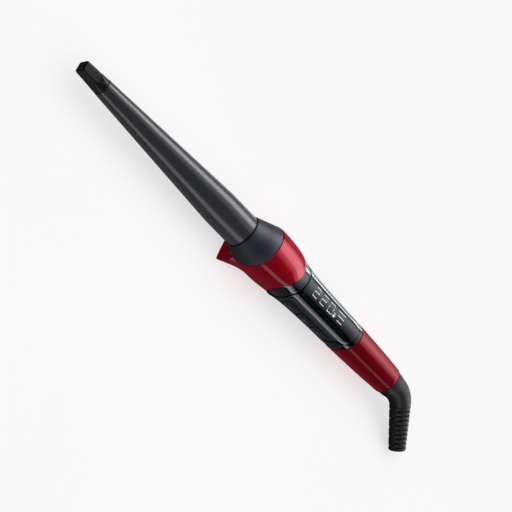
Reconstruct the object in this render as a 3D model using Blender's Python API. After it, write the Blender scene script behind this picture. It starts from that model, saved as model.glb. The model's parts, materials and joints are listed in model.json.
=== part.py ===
"""Curling wand: a heated cone barrel, a handle with a display and three keys, and a swivelling tail.

X runs along the wand from the barrel's tip to the tail, Z points up out of the display and -Y is the
side with the keys. Stations along X are measured from the barrel's rear end, and heights from the wand's
axis, by an empty that stands the flat foot of the bell on Z = 0 with the wand's balance point at X = 0.
Angles round the handle are measured from the top (+Z) towards the key side (-Y).
"""

import math

import bmesh
import bpy
from mathutils import Matrix, Vector

MM = 0.001
GAP = 0.3 * MM
SEAM = 0.15 * MM


def slanted(station, slope, curve=0.0, lowest=-40.0 * MM):
    """A joint between two pieces, as the station where it is at each height above the axis.
    It crosses the axis at a station, leans and curves, and is square to the axis below the lowest height."""
    ease = 1.2 * MM

    def joint(height):
        eased = lowest + ease * math.log1p(math.exp((height - lowest) / ease))
        return station + slope * eased + curve * eased**2

    return joint


def flat(station):
    """A joint square to the axis."""
    return slanted(station, 0.0)


def shifted(joint, distance):
    return lambda height: joint(height) + distance


def between(first, second, t):
    """The joint a share t of the way from one to another."""
    return lambda height: first(height) + (second(height) - first(height)) * t


# the wand's placing
AXIS_HEIGHT = 20.0 * MM
BALANCE = 11.0 * MM

# barrel and tip
TIP_END = -162.6 * MM
BARREL_FRONT = -141.5 * MM
BARREL_STRAIGHT = -23.0 * MM
BARREL_RADIUS = 12.5 * MM
BARREL_FRONT_RADIUS = 6.5 * MM
BARREL_WALL = 1.2 * MM
NECK_RADIUS = 11.2 * MM
NECK_END = 20.5 * MM
TIP_RADIUS = 6.35 * MM
TIP_FLAT = 5.0 * MM
SPIGOT_RADIUS = 2.5 * MM

# handle
SEAL_FRONT = 0.8 * MM
SEAL_END = 1.3 * MM
COLLAR_FRONT = SEAL_END + SEAM
BELL_MOUTH = slanted(14.9 * MM, 0.392, -7.16)
BELL_REAR = slanted(40.9 * MM, -0.484, 53.8, -2.0 * MM)
FRONT_GROOVE = slanted(49.2 * MM, 0.40, 0.0, -8.0 * MM)
REAR_GROOVE = slanted(103.5 * MM, 0.60)
SLEEVE_FRONT = slanted(109.0 * MM, 0.45)
SHELL_FRONT = 24.0 * MM
SHELL_END = 156.0 * MM
SLEEVE_END = 158.0 * MM
HANDLE_OUTLINE = [
    (0.0 * MM, 18.3 * MM),
    (22.0 * MM, 18.75 * MM),
    (34.0 * MM, 18.2 * MM),
    (48.0 * MM, 16.35 * MM),
    (60.0 * MM, 14.8 * MM),
    (80.0 * MM, 13.65 * MM),
    (112.0 * MM, 12.75 * MM),
    (140.0 * MM, 11.5 * MM),
    (158.0 * MM, 10.25 * MM),
]
SKIN = 1.8 * MM  # wall of the bell, the trim rings and the sleeve
SPIGOT_INSET = SKIN + GAP  # how far the shells step in under those pieces
SHELL_WALL = 1.6 * MM
GRIP_WALL = 2.9 * MM  # wall of the shells between the two grooves

# stand foot under the bell
FOOT_WIDTH = 34.4 * MM
FOOT_REAR_WIDTH = 18.0 * MM
FOOT_FRONT_END = 7.0 * MM
FOOT_FLAT_END = 26.0 * MM
FOOT_FADE_END = 31.5 * MM
FOOT_SWEEP = 1.4 * MM
BELL_RISE = 1.7 * MM
BELL_PROUD = 0.35 * MM

# side panels, window and keys
PANEL_ANGLES = (math.radians(56), math.radians(124))
PANEL_FRONT = slanted(51.1 * MM, 0.40)
PANEL_REAR = slanted(99.5 * MM, 0.55)
PANEL_DEPTH = 1.9 * MM
PANEL_SUNK = 0.5 * MM
WINDOW_ANGLE = math.radians(34)
WINDOW_FRONT = slanted(52.6 * MM, 0.40)
WINDOW_REAR = slanted(96.5 * MM, 0.60)
WINDOW_THICKNESS = 1.6 * MM
KEYS = {"minus": 62.0 * MM, "power": 76.5 * MM, "plus": 91.0 * MM}
KEY_LENGTH = 12.6 * MM
KEY_ANGLE = math.radians(16.5)
KEY_CORNER = 1.5 * MM
KEY_HEIGHT = 1.15 * MM
STEM_END = -10.4 * MM
STEM_RADIUS = 1.2 * MM

# board
BOARD = ((42.0 * MM, -8.8 * MM, -4.6 * MM), (94.4 * MM, 8.8 * MM, -3.0 * MM))
BOARD_TOP = BOARD[1][2]
BOARD_UNDER = BOARD[0][2]
BOARD_SCREWS = (59.2 * MM, 84.0 * MM)
BOARD_SCREW_SIDE = 6.9 * MM
SHELL_SCREWS = ((29.5 * MM, 1.3 * MM, 14.6 * MM), (124.0 * MM, 1.0 * MM, 8.3 * MM))
HEAD_SHARE = 0.78  # depth of a shell screw's head, as a share of the distance to the lower wall
FLANGE_SCREW_AT = (12.1 * MM, 3.9 * MM)

# swivel tail
SPINDLE_RADIUS = 4.5 * MM
SPINDLE_BORE = 2.4 * MM
SPINDLE_FRONT = 137.5 * MM
ELBOW_FRONT = 158.4 * MM
ELBOW_STRAIGHT = 6.5 * MM
ELBOW_BEND_RADIUS = 18.0 * MM
ELBOW_BEND = math.radians(45.6)
TAIL_SIDE = Vector((0, -0.9, -0.436)).normalized()
RELIEF_LENGTH = 32.5 * MM
RELIEF_RADII = (7.3 * MM, 6.0 * MM)
RIBS = 10
CORD_BORE = 2.6 * MM

SEGMENTS = 36


# ---------------------------------------------------------------- finishes


def finish(name, colour, roughness, metallic=0.0):
    """A Principled material of that name, made once."""
    found = bpy.data.materials.get(name)
    if found:
        return found
    made = bpy.data.materials.new(name)
    made.use_nodes = True
    shader = made.node_tree.nodes["Principled BSDF"]
    shader.inputs["Base Color"].default_value = (*colour, 1)
    shader.inputs["Roughness"].default_value = roughness
    shader.inputs["Metallic"].default_value = metallic
    made.diffuse_color = (*colour, 1)
    return made


def finishes():
    """The wand's finishes by name."""
    return {
        "ceramic_coat": finish("ceramic_coat", (0.06, 0.065, 0.08), 0.35, 0.6),
        "tip_plastic": finish("tip_plastic", (0.01, 0.01, 0.013), 0.3),
        "collar_plastic": finish("collar_plastic", (0.05, 0.055, 0.065), 0.5),
        "seal_rubber": finish("seal_rubber", (0.008, 0.008, 0.01), 0.7),
        "red_lacquer": finish("red_lacquer", (0.3, 0.004, 0.02), 0.25, 0.5),
        "gloss_black": finish("gloss_black", (0.008, 0.008, 0.01), 0.12),
        "window_acrylic": finish("window_acrylic", (0.01, 0.01, 0.012), 0.05),
        "panel_plastic": finish("panel_plastic", (0.015, 0.015, 0.02), 0.5),
        "tail_rubber": finish("tail_rubber", (0.012, 0.012, 0.014), 0.45),
        "display_white": finish("display_white", (0.8, 0.82, 0.85), 0.4),
        "insulator": finish("insulator", (0.55, 0.5, 0.4), 0.6),
        "cast_aluminium": finish("cast_aluminium", (0.6, 0.61, 0.62), 0.4, 1.0),
        "ptc_ceramic": finish("ptc_ceramic", (0.25, 0.2, 0.15), 0.7),
        "spring_steel": finish("spring_steel", (0.55, 0.55, 0.56), 0.3, 1.0),
        "brass": finish("brass", (0.75, 0.55, 0.2), 0.3, 1.0),
        "board_green": finish("board_green", (0.02, 0.16, 0.06), 0.5),
        "component_black": finish("component_black", (0.02, 0.02, 0.02), 0.5),
        "capacitor_yellow": finish("capacitor_yellow", (0.7, 0.5, 0.05), 0.5),
        "lead_white": finish("lead_white", (0.75, 0.73, 0.7), 0.7),
        "lead_red": finish("lead_red", (0.5, 0.03, 0.02), 0.6),
    }


# ---------------------------------------------------------------- outlines


def smooth_through(points, at):
    """The value at a station of the smooth curve through (station, value) points."""
    at = min(max(at, points[0][0]), points[-1][0])
    last = len(points) - 1
    slopes = []
    for i in range(len(points)):
        before = points[max(i - 1, 0)]
        after = points[min(i + 1, last)]
        slopes.append((after[1] - before[1]) / (after[0] - before[0]))
    i = min(max(k for k in range(len(points)) if points[k][0] <= at), last - 1)
    span = points[i + 1][0] - points[i][0]
    t = (at - points[i][0]) / span
    return (
        (2 * t**3 - 3 * t**2 + 1) * points[i][1]
        + (t**3 - 2 * t**2 + t) * span * slopes[i]
        + (3 * t**2 - 2 * t**3) * points[i + 1][1]
        + (t**3 - t**2) * span * slopes[i + 1]
    )


def fade(value, start, end):
    """0 before start, 1 after end, smooth between."""
    t = min(max((value - start) / (end - start), 0), 1)
    return t * t * (3 - 2 * t)


def handle_radius(x):
    return smooth_through(HANDLE_OUTLINE, x)


def rise(x, upward):
    """How far the bell and its trim ring stand out where they face up, and in where they face down.
    upward is 1 at the top and -1 at the bottom."""
    return BELL_RISE * fade(x, 6 * MM, 20 * MM) * (1 - fade(x, 40 * MM, 54 * MM)) * max(upward, -0.5)


def bell_radius(x):
    """The bell's outline: it carries on from the collar and then follows the handle."""
    return min(handle_radius(x), collar_radius(x) + BELL_PROUD)


def collar_radius(x):
    """The collar's convex cone, which meets the bell's outline at its rear end."""
    end = 24.0 * MM
    to_end = max(end - x, 0) / (end - COLLAR_FRONT)
    return 18.7 * MM - 5.7 * MM * to_end**1.5


def barrel_radius(x):
    """The barrel's taper and its short straight base."""
    t = (x - BARREL_FRONT) / (BARREL_STRAIGHT - BARREL_FRONT)
    taper = BARREL_FRONT_RADIUS + (BARREL_RADIUS - BARREL_FRONT_RADIUS) * t
    return min(taper, BARREL_RADIUS)


# ---------------------------------------------------------------- rings


def circle(x, radius, segments):
    """A ring square to the axis."""
    turns = [2 * math.pi * (i + 0.5) / segments for i in range(segments)]
    return [Vector((x, -radius * math.sin(a), radius * math.cos(a))) for a in turns]


def cut_ring(joint, outline, inset=0.0, segments=SEGMENTS, raised=False):
    """The ring where a slanted joint cuts a turned outline, moved in by inset."""
    points = []
    for i in range(segments):
        angle = 2 * math.pi * i / segments
        x = joint(0)
        radius = outline(x)
        for _ in range(6):
            x = joint(radius * math.cos(angle))
            radius = outline(x) - inset
            if raised:
                radius += rise(x, math.cos(angle))
        points.append(Vector((x, -radius * math.sin(angle), radius * math.cos(angle))))
    return points


# ---------------------------------------------------------------- bodies


def body(name, mesh, look, parent, smooth=True):
    """An object of that mesh, with its normals out, in the scene under its parent."""
    bmesh.ops.recalc_face_normals(mesh, faces=mesh.faces)
    data = bpy.data.meshes.new(name)
    mesh.to_mesh(data)
    mesh.free()
    if smooth:
        data.shade_smooth()
        data.set_sharp_from_angle(angle=math.radians(35))
    made = bpy.data.objects.new(name, data)
    if look:
        data.materials.append(look)
    bpy.context.scene.collection.objects.link(made)
    made.parent = parent
    return made


def skinned(name, rings, look, parent, hollow):
    """A body through rings of equal length: a closed tube wall if hollow, else capped at both ends."""
    mesh = bmesh.new()
    rows = [[mesh.verts.new(point) for point in ring] for ring in rings]
    pairs = list(zip(rows, rows[1:]))
    if hollow:
        pairs.append((rows[-1], rows[0]))
    else:
        mesh.faces.new(rows[0])
        mesh.faces.new(rows[-1])
    for first, second in pairs:
        for i in range(len(first)):
            j = (i + 1) % len(first)
            mesh.faces.new((first[i], first[j], second[j], second[i]))
    return body(name, mesh, look, parent)


def turned(name, profile, look, parent, segments=16, hollow=True):
    """A body turned round X from (station, radius) points."""
    rings = [circle(x, radius, segments) for x, radius in profile]
    return skinned(name, rings, look, parent, hollow)


def block(name, low, high, look, parent):
    """A plain box between two corners."""
    mesh = bmesh.new()
    bmesh.ops.create_cube(mesh, size=1)
    size = [b - a for a, b in zip(low, high)]
    middle = Vector([(a + b) / 2 for a, b in zip(low, high)])
    placing = Matrix.Translation(middle) @ Matrix.Diagonal((*size, 1))
    bmesh.ops.transform(mesh, matrix=placing, verts=mesh.verts)
    return body(name, mesh, look, parent, smooth=False)


def rod(name, start, direction, length, radius, look, parent, segments=16):
    """A plain cylinder from a point along a direction."""
    made = turned(name, [(0, radius), (length, radius)], look, parent, segments, hollow=False)
    return aim(made, start, direction)


def aim(made, at, direction):
    """Places a body whose own X axis is to point along direction."""
    made.location = at
    made.rotation_euler = Vector((1, 0, 0)).rotation_difference(Vector(direction)).to_euler()
    return made


def wrapped(name, angles, joints, depths, look, parent, rounding=0.0, columns=6, rows=6):
    """A plate that follows the handle's surface between two angles and two slanted joints.
    depths are below the surface: inner, then outer. The corners are rounded."""
    low, high = angles
    middle_radius = handle_radius((joints[0](0) + joints[1](0)) / 2)
    arc = (high - low) * middle_radius
    steps = [arc * i / rows for i in range(rows + 1)]
    if rounding:
        edge = [rounding * (1 - math.cos(math.radians(a))) for a in (0, 30, 60, 90)]
        inner = [s for s in steps if rounding * 1.2 < s < arc - rounding * 1.2]
        steps = edge + inner + [arc - s for s in reversed(edge)]
    mesh = bmesh.new()
    layers = [[], []]
    for step in steps:
        angle = low + step / middle_radius
        from_side = min(step, arc - step)
        back = max(rounding - from_side, 0)
        pull = rounding - math.sqrt(max(rounding**2 - back**2, 0))
        height = middle_radius * math.cos(angle)
        first = joints[0](height) + pull
        last = joints[1](height) - pull
        for layer, depth in zip(layers, depths):
            row = []
            for c in range(columns + 1):
                x = first + (last - first) * c / columns
                radius = handle_radius(x) - depth
                row.append(mesh.verts.new((x, -radius * math.sin(angle), radius * math.cos(angle))))
            layer.append(row)
    inside, outside = layers
    for grid in layers:
        for first, second in zip(grid, grid[1:]):
            for c in range(columns):
                mesh.faces.new((first[c], first[c + 1], second[c + 1], second[c]))
    for i in range(len(steps) - 1):
        for c in (0, columns):
            mesh.faces.new((inside[i][c], inside[i + 1][c], outside[i + 1][c], outside[i][c]))
    for i in (0, len(steps) - 1):
        for c in range(columns):
            mesh.faces.new((inside[i][c], inside[i][c + 1], outside[i][c + 1], outside[i][c]))
    return body(name, mesh, look, parent)


def lead(name, points, radius, look, parent, count=9):
    """An insulated lead on a smooth route through points."""
    stations = list(range(len(points)))
    axes = [[(i, p[axis]) for i, p in zip(stations, points)] for axis in range(3)]
    curve = bpy.data.curves.new(name, "CURVE")
    curve.dimensions = "3D"
    curve.bevel_depth = radius
    curve.bevel_resolution = 1
    curve.use_fill_caps = True
    spline = curve.splines.new("POLY")
    spline.points.add(count - 1)
    for i, point in enumerate(spline.points):
        at = (len(points) - 1) * i / (count - 1)
        point.co = (*[smooth_through(axis, at) for axis in axes], 1)
    curve.materials.append(look)
    made = bpy.data.objects.new(name, curve)
    bpy.context.scene.collection.objects.link(made)
    made.parent = parent
    return made


def strip(name, route, thickness, half_width, look, parent):
    """A thin leaf: a route of (x, z) points, given a thickness and a width along Y."""
    mesh = bmesh.new()
    rings = []
    for i, (x, z) in enumerate(route):
        before = route[max(i - 1, 0)]
        after = route[min(i + 1, len(route) - 1)]
        along = Vector((after[0] - before[0], 0, after[1] - before[1])).normalized()
        across = Vector((-along.z, 0, along.x)) * thickness / 2
        ring = []
        for side, lift in ((-1, -1), (1, -1), (1, 1), (-1, 1)):
            ring.append(mesh.verts.new(Vector((x, side * half_width, z)) + across * lift))
        rings.append(ring)
    for first, second in zip(rings, rings[1:]):
        for i in range(4):
            j = (i + 1) % 4
            mesh.faces.new((first[i], first[j], second[j], second[i]))
    mesh.faces.new(rings[0])
    mesh.faces.new(rings[-1])
    return body(name, mesh, look, parent, smooth=False)


def combine(target, other, operation):
    """Cuts a hidden body out of the target, or joins it on."""
    other.hide_render = True
    other.display_type = "WIRE"
    modifier = target.modifiers.new(f"{operation.lower()}_{other.name}", "BOOLEAN")
    modifier.operation = operation
    modifier.object = other


def cut(target, cutter):
    combine(target, cutter, "DIFFERENCE")


def join(target, addition):
    combine(target, addition, "UNION")


def put_origin(made, point):
    """Moves a body's origin to a point of its parent's space, leaving its shape where it is."""
    made.data.transform(Matrix.Translation(-Vector(point)))
    made.location = point
    return made


def screw(name, head_at, direction, head, shank, look, parent):
    """A screw driven along direction. head and shank are (length, radius); the head is behind head_at."""
    slot_depth = head[0] * 0.5
    slot_radius = head[1] * 0.4
    profile = [
        (-head[0] + slot_depth, slot_radius * 0.5),
        (-head[0], slot_radius),
        (-head[0], head[1] * 0.75),
        (-head[0] * 0.6, head[1]),
        (0, head[1]),
        (0, shank[1]),
        (shank[0] - shank[1], shank[1]),
        (shank[0], shank[1] * 0.4),
    ]
    return aim(turned(name, profile, look, parent, 8, hollow=False), head_at, direction)


# ---------------------------------------------------------------- barrel


def make_barrel(looks, wand):
    wall = BARREL_WALL
    chamfer = 0.4 * MM
    profile = [
        (BARREL_FRONT, BARREL_FRONT_RADIUS - chamfer),
        (BARREL_FRONT + chamfer, barrel_radius(BARREL_FRONT + chamfer)),
        (BARREL_STRAIGHT - 4 * MM, barrel_radius(BARREL_STRAIGHT - 4 * MM)),
        (BARREL_STRAIGHT, BARREL_RADIUS - 0.05 * MM),
        (BARREL_STRAIGHT + 4 * MM, BARREL_RADIUS),
        (SEAL_FRONT - SEAM, BARREL_RADIUS),
        (SEAL_FRONT - SEAM, NECK_RADIUS),
        (NECK_END, NECK_RADIUS),
        (NECK_END, NECK_RADIUS - wall),
        (-GAP - 2 * wall, NECK_RADIUS - wall),
        (-GAP - 3 * wall, BARREL_RADIUS - wall),
        (BARREL_STRAIGHT, BARREL_RADIUS - wall),
        (BARREL_FRONT, BARREL_FRONT_RADIUS - wall),
    ]
    turned("barrel", profile, looks["ceramic_coat"], wand, 32)


def tip_ring(x, radius, flat_distance, segments=24):
    """A round section with four flats."""
    points = []
    for i in range(segments):
        angle = 2 * math.pi * i / segments
        widest = max(abs(math.sin(angle)), abs(math.cos(angle)))
        reach = min(radius, flat_distance / widest)
        points.append(Vector((x, -reach * math.sin(angle), reach * math.cos(angle))))
    return points


def make_cool_tip(looks, wand):
    """The tip: a spigot, a round base that runs into four tapering flats, and a dished end."""
    base = BARREL_FRONT - GAP
    length = base - (TIP_END + 1.4 * MM)
    rings = [
        tip_ring(base + 9 * MM, SPIGOT_RADIUS, 1),
        tip_ring(base, SPIGOT_RADIUS, 1),
        tip_ring(base, TIP_RADIUS - 0.2 * MM, 1),
        tip_ring(base - 0.3 * MM, TIP_RADIUS, 1),
    ]
    for t in (0.08, 0.2, 0.3, 0.42, 1):
        flat_distance = TIP_RADIUS - (TIP_RADIUS - TIP_FLAT) * fade(t, 0.08, 0.42) - 0.75 * MM * t
        rings.append(tip_ring(base - length * t, TIP_RADIUS - 1.0 * MM * t, flat_distance))
    rings += [
        tip_ring(TIP_END + 0.4 * MM, TIP_RADIUS - 1.7 * MM, TIP_FLAT - 1.3 * MM),
        tip_ring(TIP_END, TIP_RADIUS - 2.4 * MM, TIP_FLAT - 1.9 * MM),
        tip_ring(TIP_END + 0.3 * MM, TIP_RADIUS - 3.0 * MM, TIP_FLAT - 2.4 * MM),
    ]
    skinned("cool_tip", rings, looks["tip_plastic"], wand, hollow=False)


def make_tip_plug(looks, wand):
    """The plug pressed into the barrel's front end, which the tip's spigot snaps into."""
    front = BARREL_FRONT + 0.5 * MM
    rear = BARREL_FRONT + 14 * MM
    profile = [
        (front, barrel_radius(front) - BARREL_WALL - GAP),
        (rear, barrel_radius(rear) - BARREL_WALL - GAP),
        (rear, SPIGOT_RADIUS + GAP),
        (front, SPIGOT_RADIUS + GAP),
    ]
    turned("tip_plug", profile, looks["insulator"], wand, 20)


def core_ring(x, radius, flat_height, side):
    """The D-shaped section of a half core, above (side 1) or below (side -1) the axis."""
    start = math.asin(flat_height / radius)
    steps = 10
    turns = [start + (math.pi - 2 * start) * i / steps for i in range(steps + 1)]
    return [Vector((x, radius * math.cos(a), side * radius * math.sin(a))) for a in turns]


def make_heater(looks, wand):
    """The hollow half cores, the heating strip and its leaf spring."""
    front, rear = -120 * MM, -10 * MM
    clearance = BARREL_WALL + 0.35 * MM
    core_wall = 1.2 * MM
    stations = [front, BARREL_STRAIGHT - 1 * MM, rear]
    halves = (("heater_core_upper", 1, 1.5 * MM), ("heater_core_lower", -1, 2.6 * MM))
    for name, side, flat_height in halves:
        radii = [barrel_radius(x) - clearance for x in stations]
        rings = [core_ring(x, r, flat_height, side) for x, r in zip(stations, radii)]
        bore = [core_ring(x, r - core_wall, flat_height + core_wall, side) for x, r in zip(stations, radii)]
        skinned(name, rings + bore[::-1], looks["cast_aluminium"], wand, hollow=True)
    strip_half = 4 * MM
    strip_thick = 1.1 * MM
    block("ptc_heater", (-112 * MM, -strip_half, -strip_thick), (-14 * MM, strip_half, strip_thick),
          looks["ptc_ceramic"], wand)
    waves, steps, swing = 4, 24, 0.2 * MM
    route = []
    for i in range(steps + 1):
        x = -108 * MM + 88 * MM * i / steps
        route.append((x, -1.9 * MM + swing * math.cos(2 * math.pi * waves * i / steps)))
    strip("heater_leaf_spring", route, 0.35 * MM, 3 * MM, looks["spring_steel"], wand)


def make_sensors(looks, wand):
    """The thermistor and the thermal fuse behind the half cores."""
    bead = [(-9.4 * MM, 0.5 * MM), (-8.8 * MM, 1.3 * MM), (-5.0 * MM, 1.3 * MM), (-4.4 * MM, 0.5 * MM)]
    turned("thermistor", bead, looks["lead_red"], wand, 10, hollow=False).location = (0, 0, 5 * MM)
    can = [(-9.4 * MM, 1.4 * MM), (-8.8 * MM, 2.0 * MM), (0 * MM, 2.0 * MM), (0.6 * MM, 1.2 * MM)]
    turned("thermal_fuse", can, looks["spring_steel"], wand, 12, hollow=False).location = (0, 0, -6 * MM)


def make_barrel_leads(looks, wand):
    """The heater's and the sensor's leads, from the barrel to the board."""
    live = [(1.0, 0, -6), (9, -3, -5.2), (20, -6, -3.2), (32, -6, -2.2), (43.5, -6, -1.8)]
    neutral = [(-13.6, 2.5, 0), (-4, 4.4, -0.6), (12, 6, -1.4), (28, 6, -1.8), (43.5, 6, -1.8)]
    for name, route in (("heater_lead_live", live), ("heater_lead_neutral", neutral)):
        points = [Vector(point) * MM for point in route]
        lead(name, points, 0.9 * MM, looks["lead_white"], wand)
    for name, side in (("sensor_lead_1", -1), ("sensor_lead_2", 1)):
        route = [(-4.0, 0.7, 5), (8, 1.6, 5), (20, 4.6, 3.4), (32, 4.7, 0.6), (43.5, 3.2, -2.2)]
        points = [Vector((x, side * y, z)) * MM for x, y, z in route]
        lead(name, points, 0.45 * MM, looks["lead_red"], wand)


def make_flange(looks, wand):
    """The seal in front of the collar, and the ring that holds the barrel's neck, with its screws."""
    bore = NECK_RADIUS + GAP
    seal_radius = 12.9 * MM
    seal = [(SEAL_FRONT, bore), (SEAL_FRONT, seal_radius), (SEAL_END, seal_radius), (SEAL_END, bore)]
    turned("barrel_seal", seal, looks["seal_rubber"], wand, 32)
    lip = NECK_END + GAP
    lip_radius, waist_radius, plate_radius = 9.5 * MM, 10.6 * MM, 14.7 * MM
    profile = [
        (14 * MM, bore),
        (14 * MM, 13.2 * MM),
        (21.5 * MM, 13.2 * MM),
        (21.5 * MM, waist_radius),
        (23.4 * MM, waist_radius),
        (23.4 * MM, plate_radius),
        (25.4 * MM, plate_radius),
        (25.4 * MM, lip_radius),
        (lip, lip_radius),
        (lip, bore),
    ]
    flange = turned("barrel_flange", profile, looks["insulator"], wand, 24)
    for name, side in (("1", 1), ("2", -1)):
        y, z = (side * value for value in FLANGE_SCREW_AT)
        drill(flange, f"flange_hole_{name}", (23 * MM, y, z), (1, 0, 0), 3 * MM, 1.4 * MM, wand)
        screw(f"flange_screw_{name}", (23.1 * MM, y, z), (1, 0, 0), (1.2 * MM, 1.75 * MM),
              (8.4 * MM, 1.1 * MM), looks["spring_steel"], wand)


# ---------------------------------------------------------------- bell and collar


def make_collar(looks, wand):
    """The conical heat shield: a visible cone that ends on the bell's mouth, and a tenon inside it."""
    mouth = shifted(BELL_MOUTH, -SEAM)
    front = flat(COLLAR_FRONT)
    cone_front = flat(COLLAR_FRONT + 0.25 * MM)
    tenon_end = flat(23 * MM)
    tenon, inner = 1.7 * MM, 3.4 * MM
    bore = NECK_RADIUS + GAP

    def inside(x):
        return max(collar_radius(x) - inner, bore)

    rings = [cut_ring(front, collar_radius, 0.2 * MM)]
    for t in (0, 0.25, 0.5, 0.75, 1):
        rings.append(cut_ring(between(cone_front, mouth, t), collar_radius, raised=True))
    rings += [cut_ring(between(mouth, tenon_end, t), collar_radius, tenon) for t in (0, 0.5, 1)]
    rings += [cut_ring(flat(x * MM), inside) for x in (23, 14, 8, 5.3)]
    rings += [cut_ring(front, inside)]
    skinned("collar", rings, looks["collar_plastic"], wand, hollow=True)


def foot_reach(x, angle):
    """The bell's radius at a station and an angle from straight down: round, or the foot's outline."""
    radius = bell_radius(x) + rise(x, -math.cos(angle))
    shrink = min(max((x - FOOT_FRONT_END) / (FOOT_FLAT_END - FOOT_FRONT_END), 0), 1.6)
    half_width = (FOOT_WIDTH + (FOOT_REAR_WIDTH - FOOT_WIDTH) * shrink) / 2
    corner = math.atan2(half_width, AXIS_HEIGHT)
    corner_reach = math.hypot(half_width, AXIS_HEIGHT)
    tangent = corner + math.acos(min(radius / corner_reach, 1))
    angle = abs(angle)
    if angle <= corner:
        reach = AXIS_HEIGHT / math.cos(angle)
    elif angle < tangent:
        reach = radius / math.cos(tangent - angle)
    else:
        reach = radius
    if abs(angle - corner) < math.radians(1):
        reach -= 0.7 * MM
    shape = 1 - fade(x, FOOT_FLAT_END, FOOT_FADE_END)
    return radius + (max(reach, radius) - radius) * shape, corner


def bell_ring(joint, outline, inset=0.0, sweep=0.0):
    """A ring of the bell or its bore, with points at the foot's corners.
    outline(x, angle) is the radius."""
    bottom_x = joint(-AXIS_HEIGHT) + sweep
    corner = foot_reach(bottom_x, 0)[1]
    side, top = math.radians(84), math.pi
    near_corner = math.radians(3.5)
    half = [0, corner * 0.4, corner - near_corner, corner, corner + near_corner]
    half += [half[-1] + (side - half[-1]) * i / 4 for i in range(1, 5)]
    half += [side + (top - side) * i / 9 for i in range(1, 10)]
    angles = half + [-a for a in reversed(half[1:-1])]
    points = []
    for angle in angles:
        x = joint(0)
        y = z = 0.0
        for _ in range(8):
            reach = outline(x, angle) - inset
            y, z = -reach * math.sin(angle), -reach * math.cos(angle)
            low = fade(-z, 11 * MM, AXIS_HEIGHT)
            x = joint(z) + sweep * low * (2 * y / FOOT_WIDTH) ** 2
        points.append(Vector((x, y, z)))
    return points


def make_front_bell(looks, wand):
    """The red bell, with a slanted mouth and rear edge and the flat stand foot under its mouth."""

    def outside(x, angle):
        return foot_reach(x, angle)[0]

    def round_outside(x, _):
        return handle_radius(x)

    def round_collar(x, _):
        return collar_radius(x)

    mouth = shifted(BELL_MOUTH, SEAM)
    seat = flat(23.3 * MM)
    tenon_room = 1.4 * MM
    rings = [bell_ring(mouth, outside, 0.25 * MM, FOOT_SWEEP)]
    for t in (0.01, 0.11, 0.22, 0.35, 0.5, 0.64, 0.78, 0.9, 0.99):
        rings.append(bell_ring(between(mouth, BELL_REAR, t), outside, 0, FOOT_SWEEP * (1 - t)))
    rings.append(bell_ring(BELL_REAR, outside, 0.3 * MM))
    rings.append(bell_ring(BELL_REAR, round_outside, SKIN))
    rings.append(bell_ring(between(seat, BELL_REAR, 0.5), round_outside, SKIN))
    rings.append(bell_ring(seat, round_outside, SKIN))
    rings.append(bell_ring(seat, round_collar, tenon_room))
    rings.append(bell_ring(between(mouth, seat, 0.5), round_collar, tenon_room))
    rings.append(bell_ring(mouth, round_collar, tenon_room))
    skinned("front_bell", rings, looks["red_lacquer"], wand, hollow=True)


# ---------------------------------------------------------------- handle


def ring_band(name, front, rear, inset, look, parent, raised=False):
    """A short ring between two slanted joints, round the shells' spigot."""
    rings = [cut_ring(front, handle_radius, SKIN)]
    for t in (0, 0.5, 1):
        rings.append(cut_ring(between(front, rear, t), handle_radius, inset, raised=raised))
    rings += [cut_ring(rear, handle_radius, SKIN)]
    skinned(name, rings, look, parent, hollow=True)


def make_trim_rings(looks, wand):
    black = looks["gloss_black"]
    half_groove = 0.25 * MM
    ring_band("front_trim_ring", shifted(BELL_REAR, GAP), shifted(FRONT_GROOVE, -half_groove), 0.35 * MM,
              black, wand, raised=True)
    ring_band("rear_trim_ring", shifted(REAR_GROOVE, half_groove), shifted(SLEEVE_FRONT, -GAP), 0.15 * MM,
              black, wand)


def shell_rings():
    """The wall of both shells: spigots under the bell and the sleeve, and the grip between the grooves."""
    half_groove = 0.25 * MM
    start, end = shifted(FRONT_GROOVE, half_groove), shifted(REAR_GROOVE, -half_groove)
    grip_start, grip_end = shifted(start, half_groove), shifted(end, -half_groove)
    inner_step = slanted(100.2 * MM, 0.60)
    spigot_inner = SPIGOT_INSET + SHELL_WALL
    places = [(flat(SHELL_FRONT), SPIGOT_INSET), (start, SPIGOT_INSET), (start, half_groove)]
    places += [(between(grip_start, grip_end, t), 0) for t in (0, 0.2, 0.4, 0.7, 1)]
    places += [(end, half_groove), (end, SPIGOT_INSET), (flat(135 * MM), SPIGOT_INSET)]
    places += [(flat(SHELL_END), SPIGOT_INSET), (flat(SHELL_END), spigot_inner)]
    places += [(flat(135 * MM), spigot_inner)]
    places += [(shifted(inner_step, 0.8 * MM), spigot_inner), (inner_step, GRIP_WALL)]
    places += [(flat(76 * MM), GRIP_WALL), (flat(58 * MM), GRIP_WALL), (flat(57 * MM), spigot_inner)]
    places += [(flat(40 * MM), spigot_inner), (flat(SHELL_FRONT), spigot_inner)]
    return [cut_ring(joint, handle_radius, inset) for joint, inset in places]


def add_boss(target, name, start, direction, length, radius, wand, segments=16):
    """Joins on a post along a direction."""
    join(target, rod(name, start, direction, length, radius, None, wand, segments))


def drill(target, name, start, direction, length, radius, wand, segments=12):
    """Drills a hole along a direction."""
    cut(target, rod(name, start, direction, length, radius, None, wand, segments))


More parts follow.
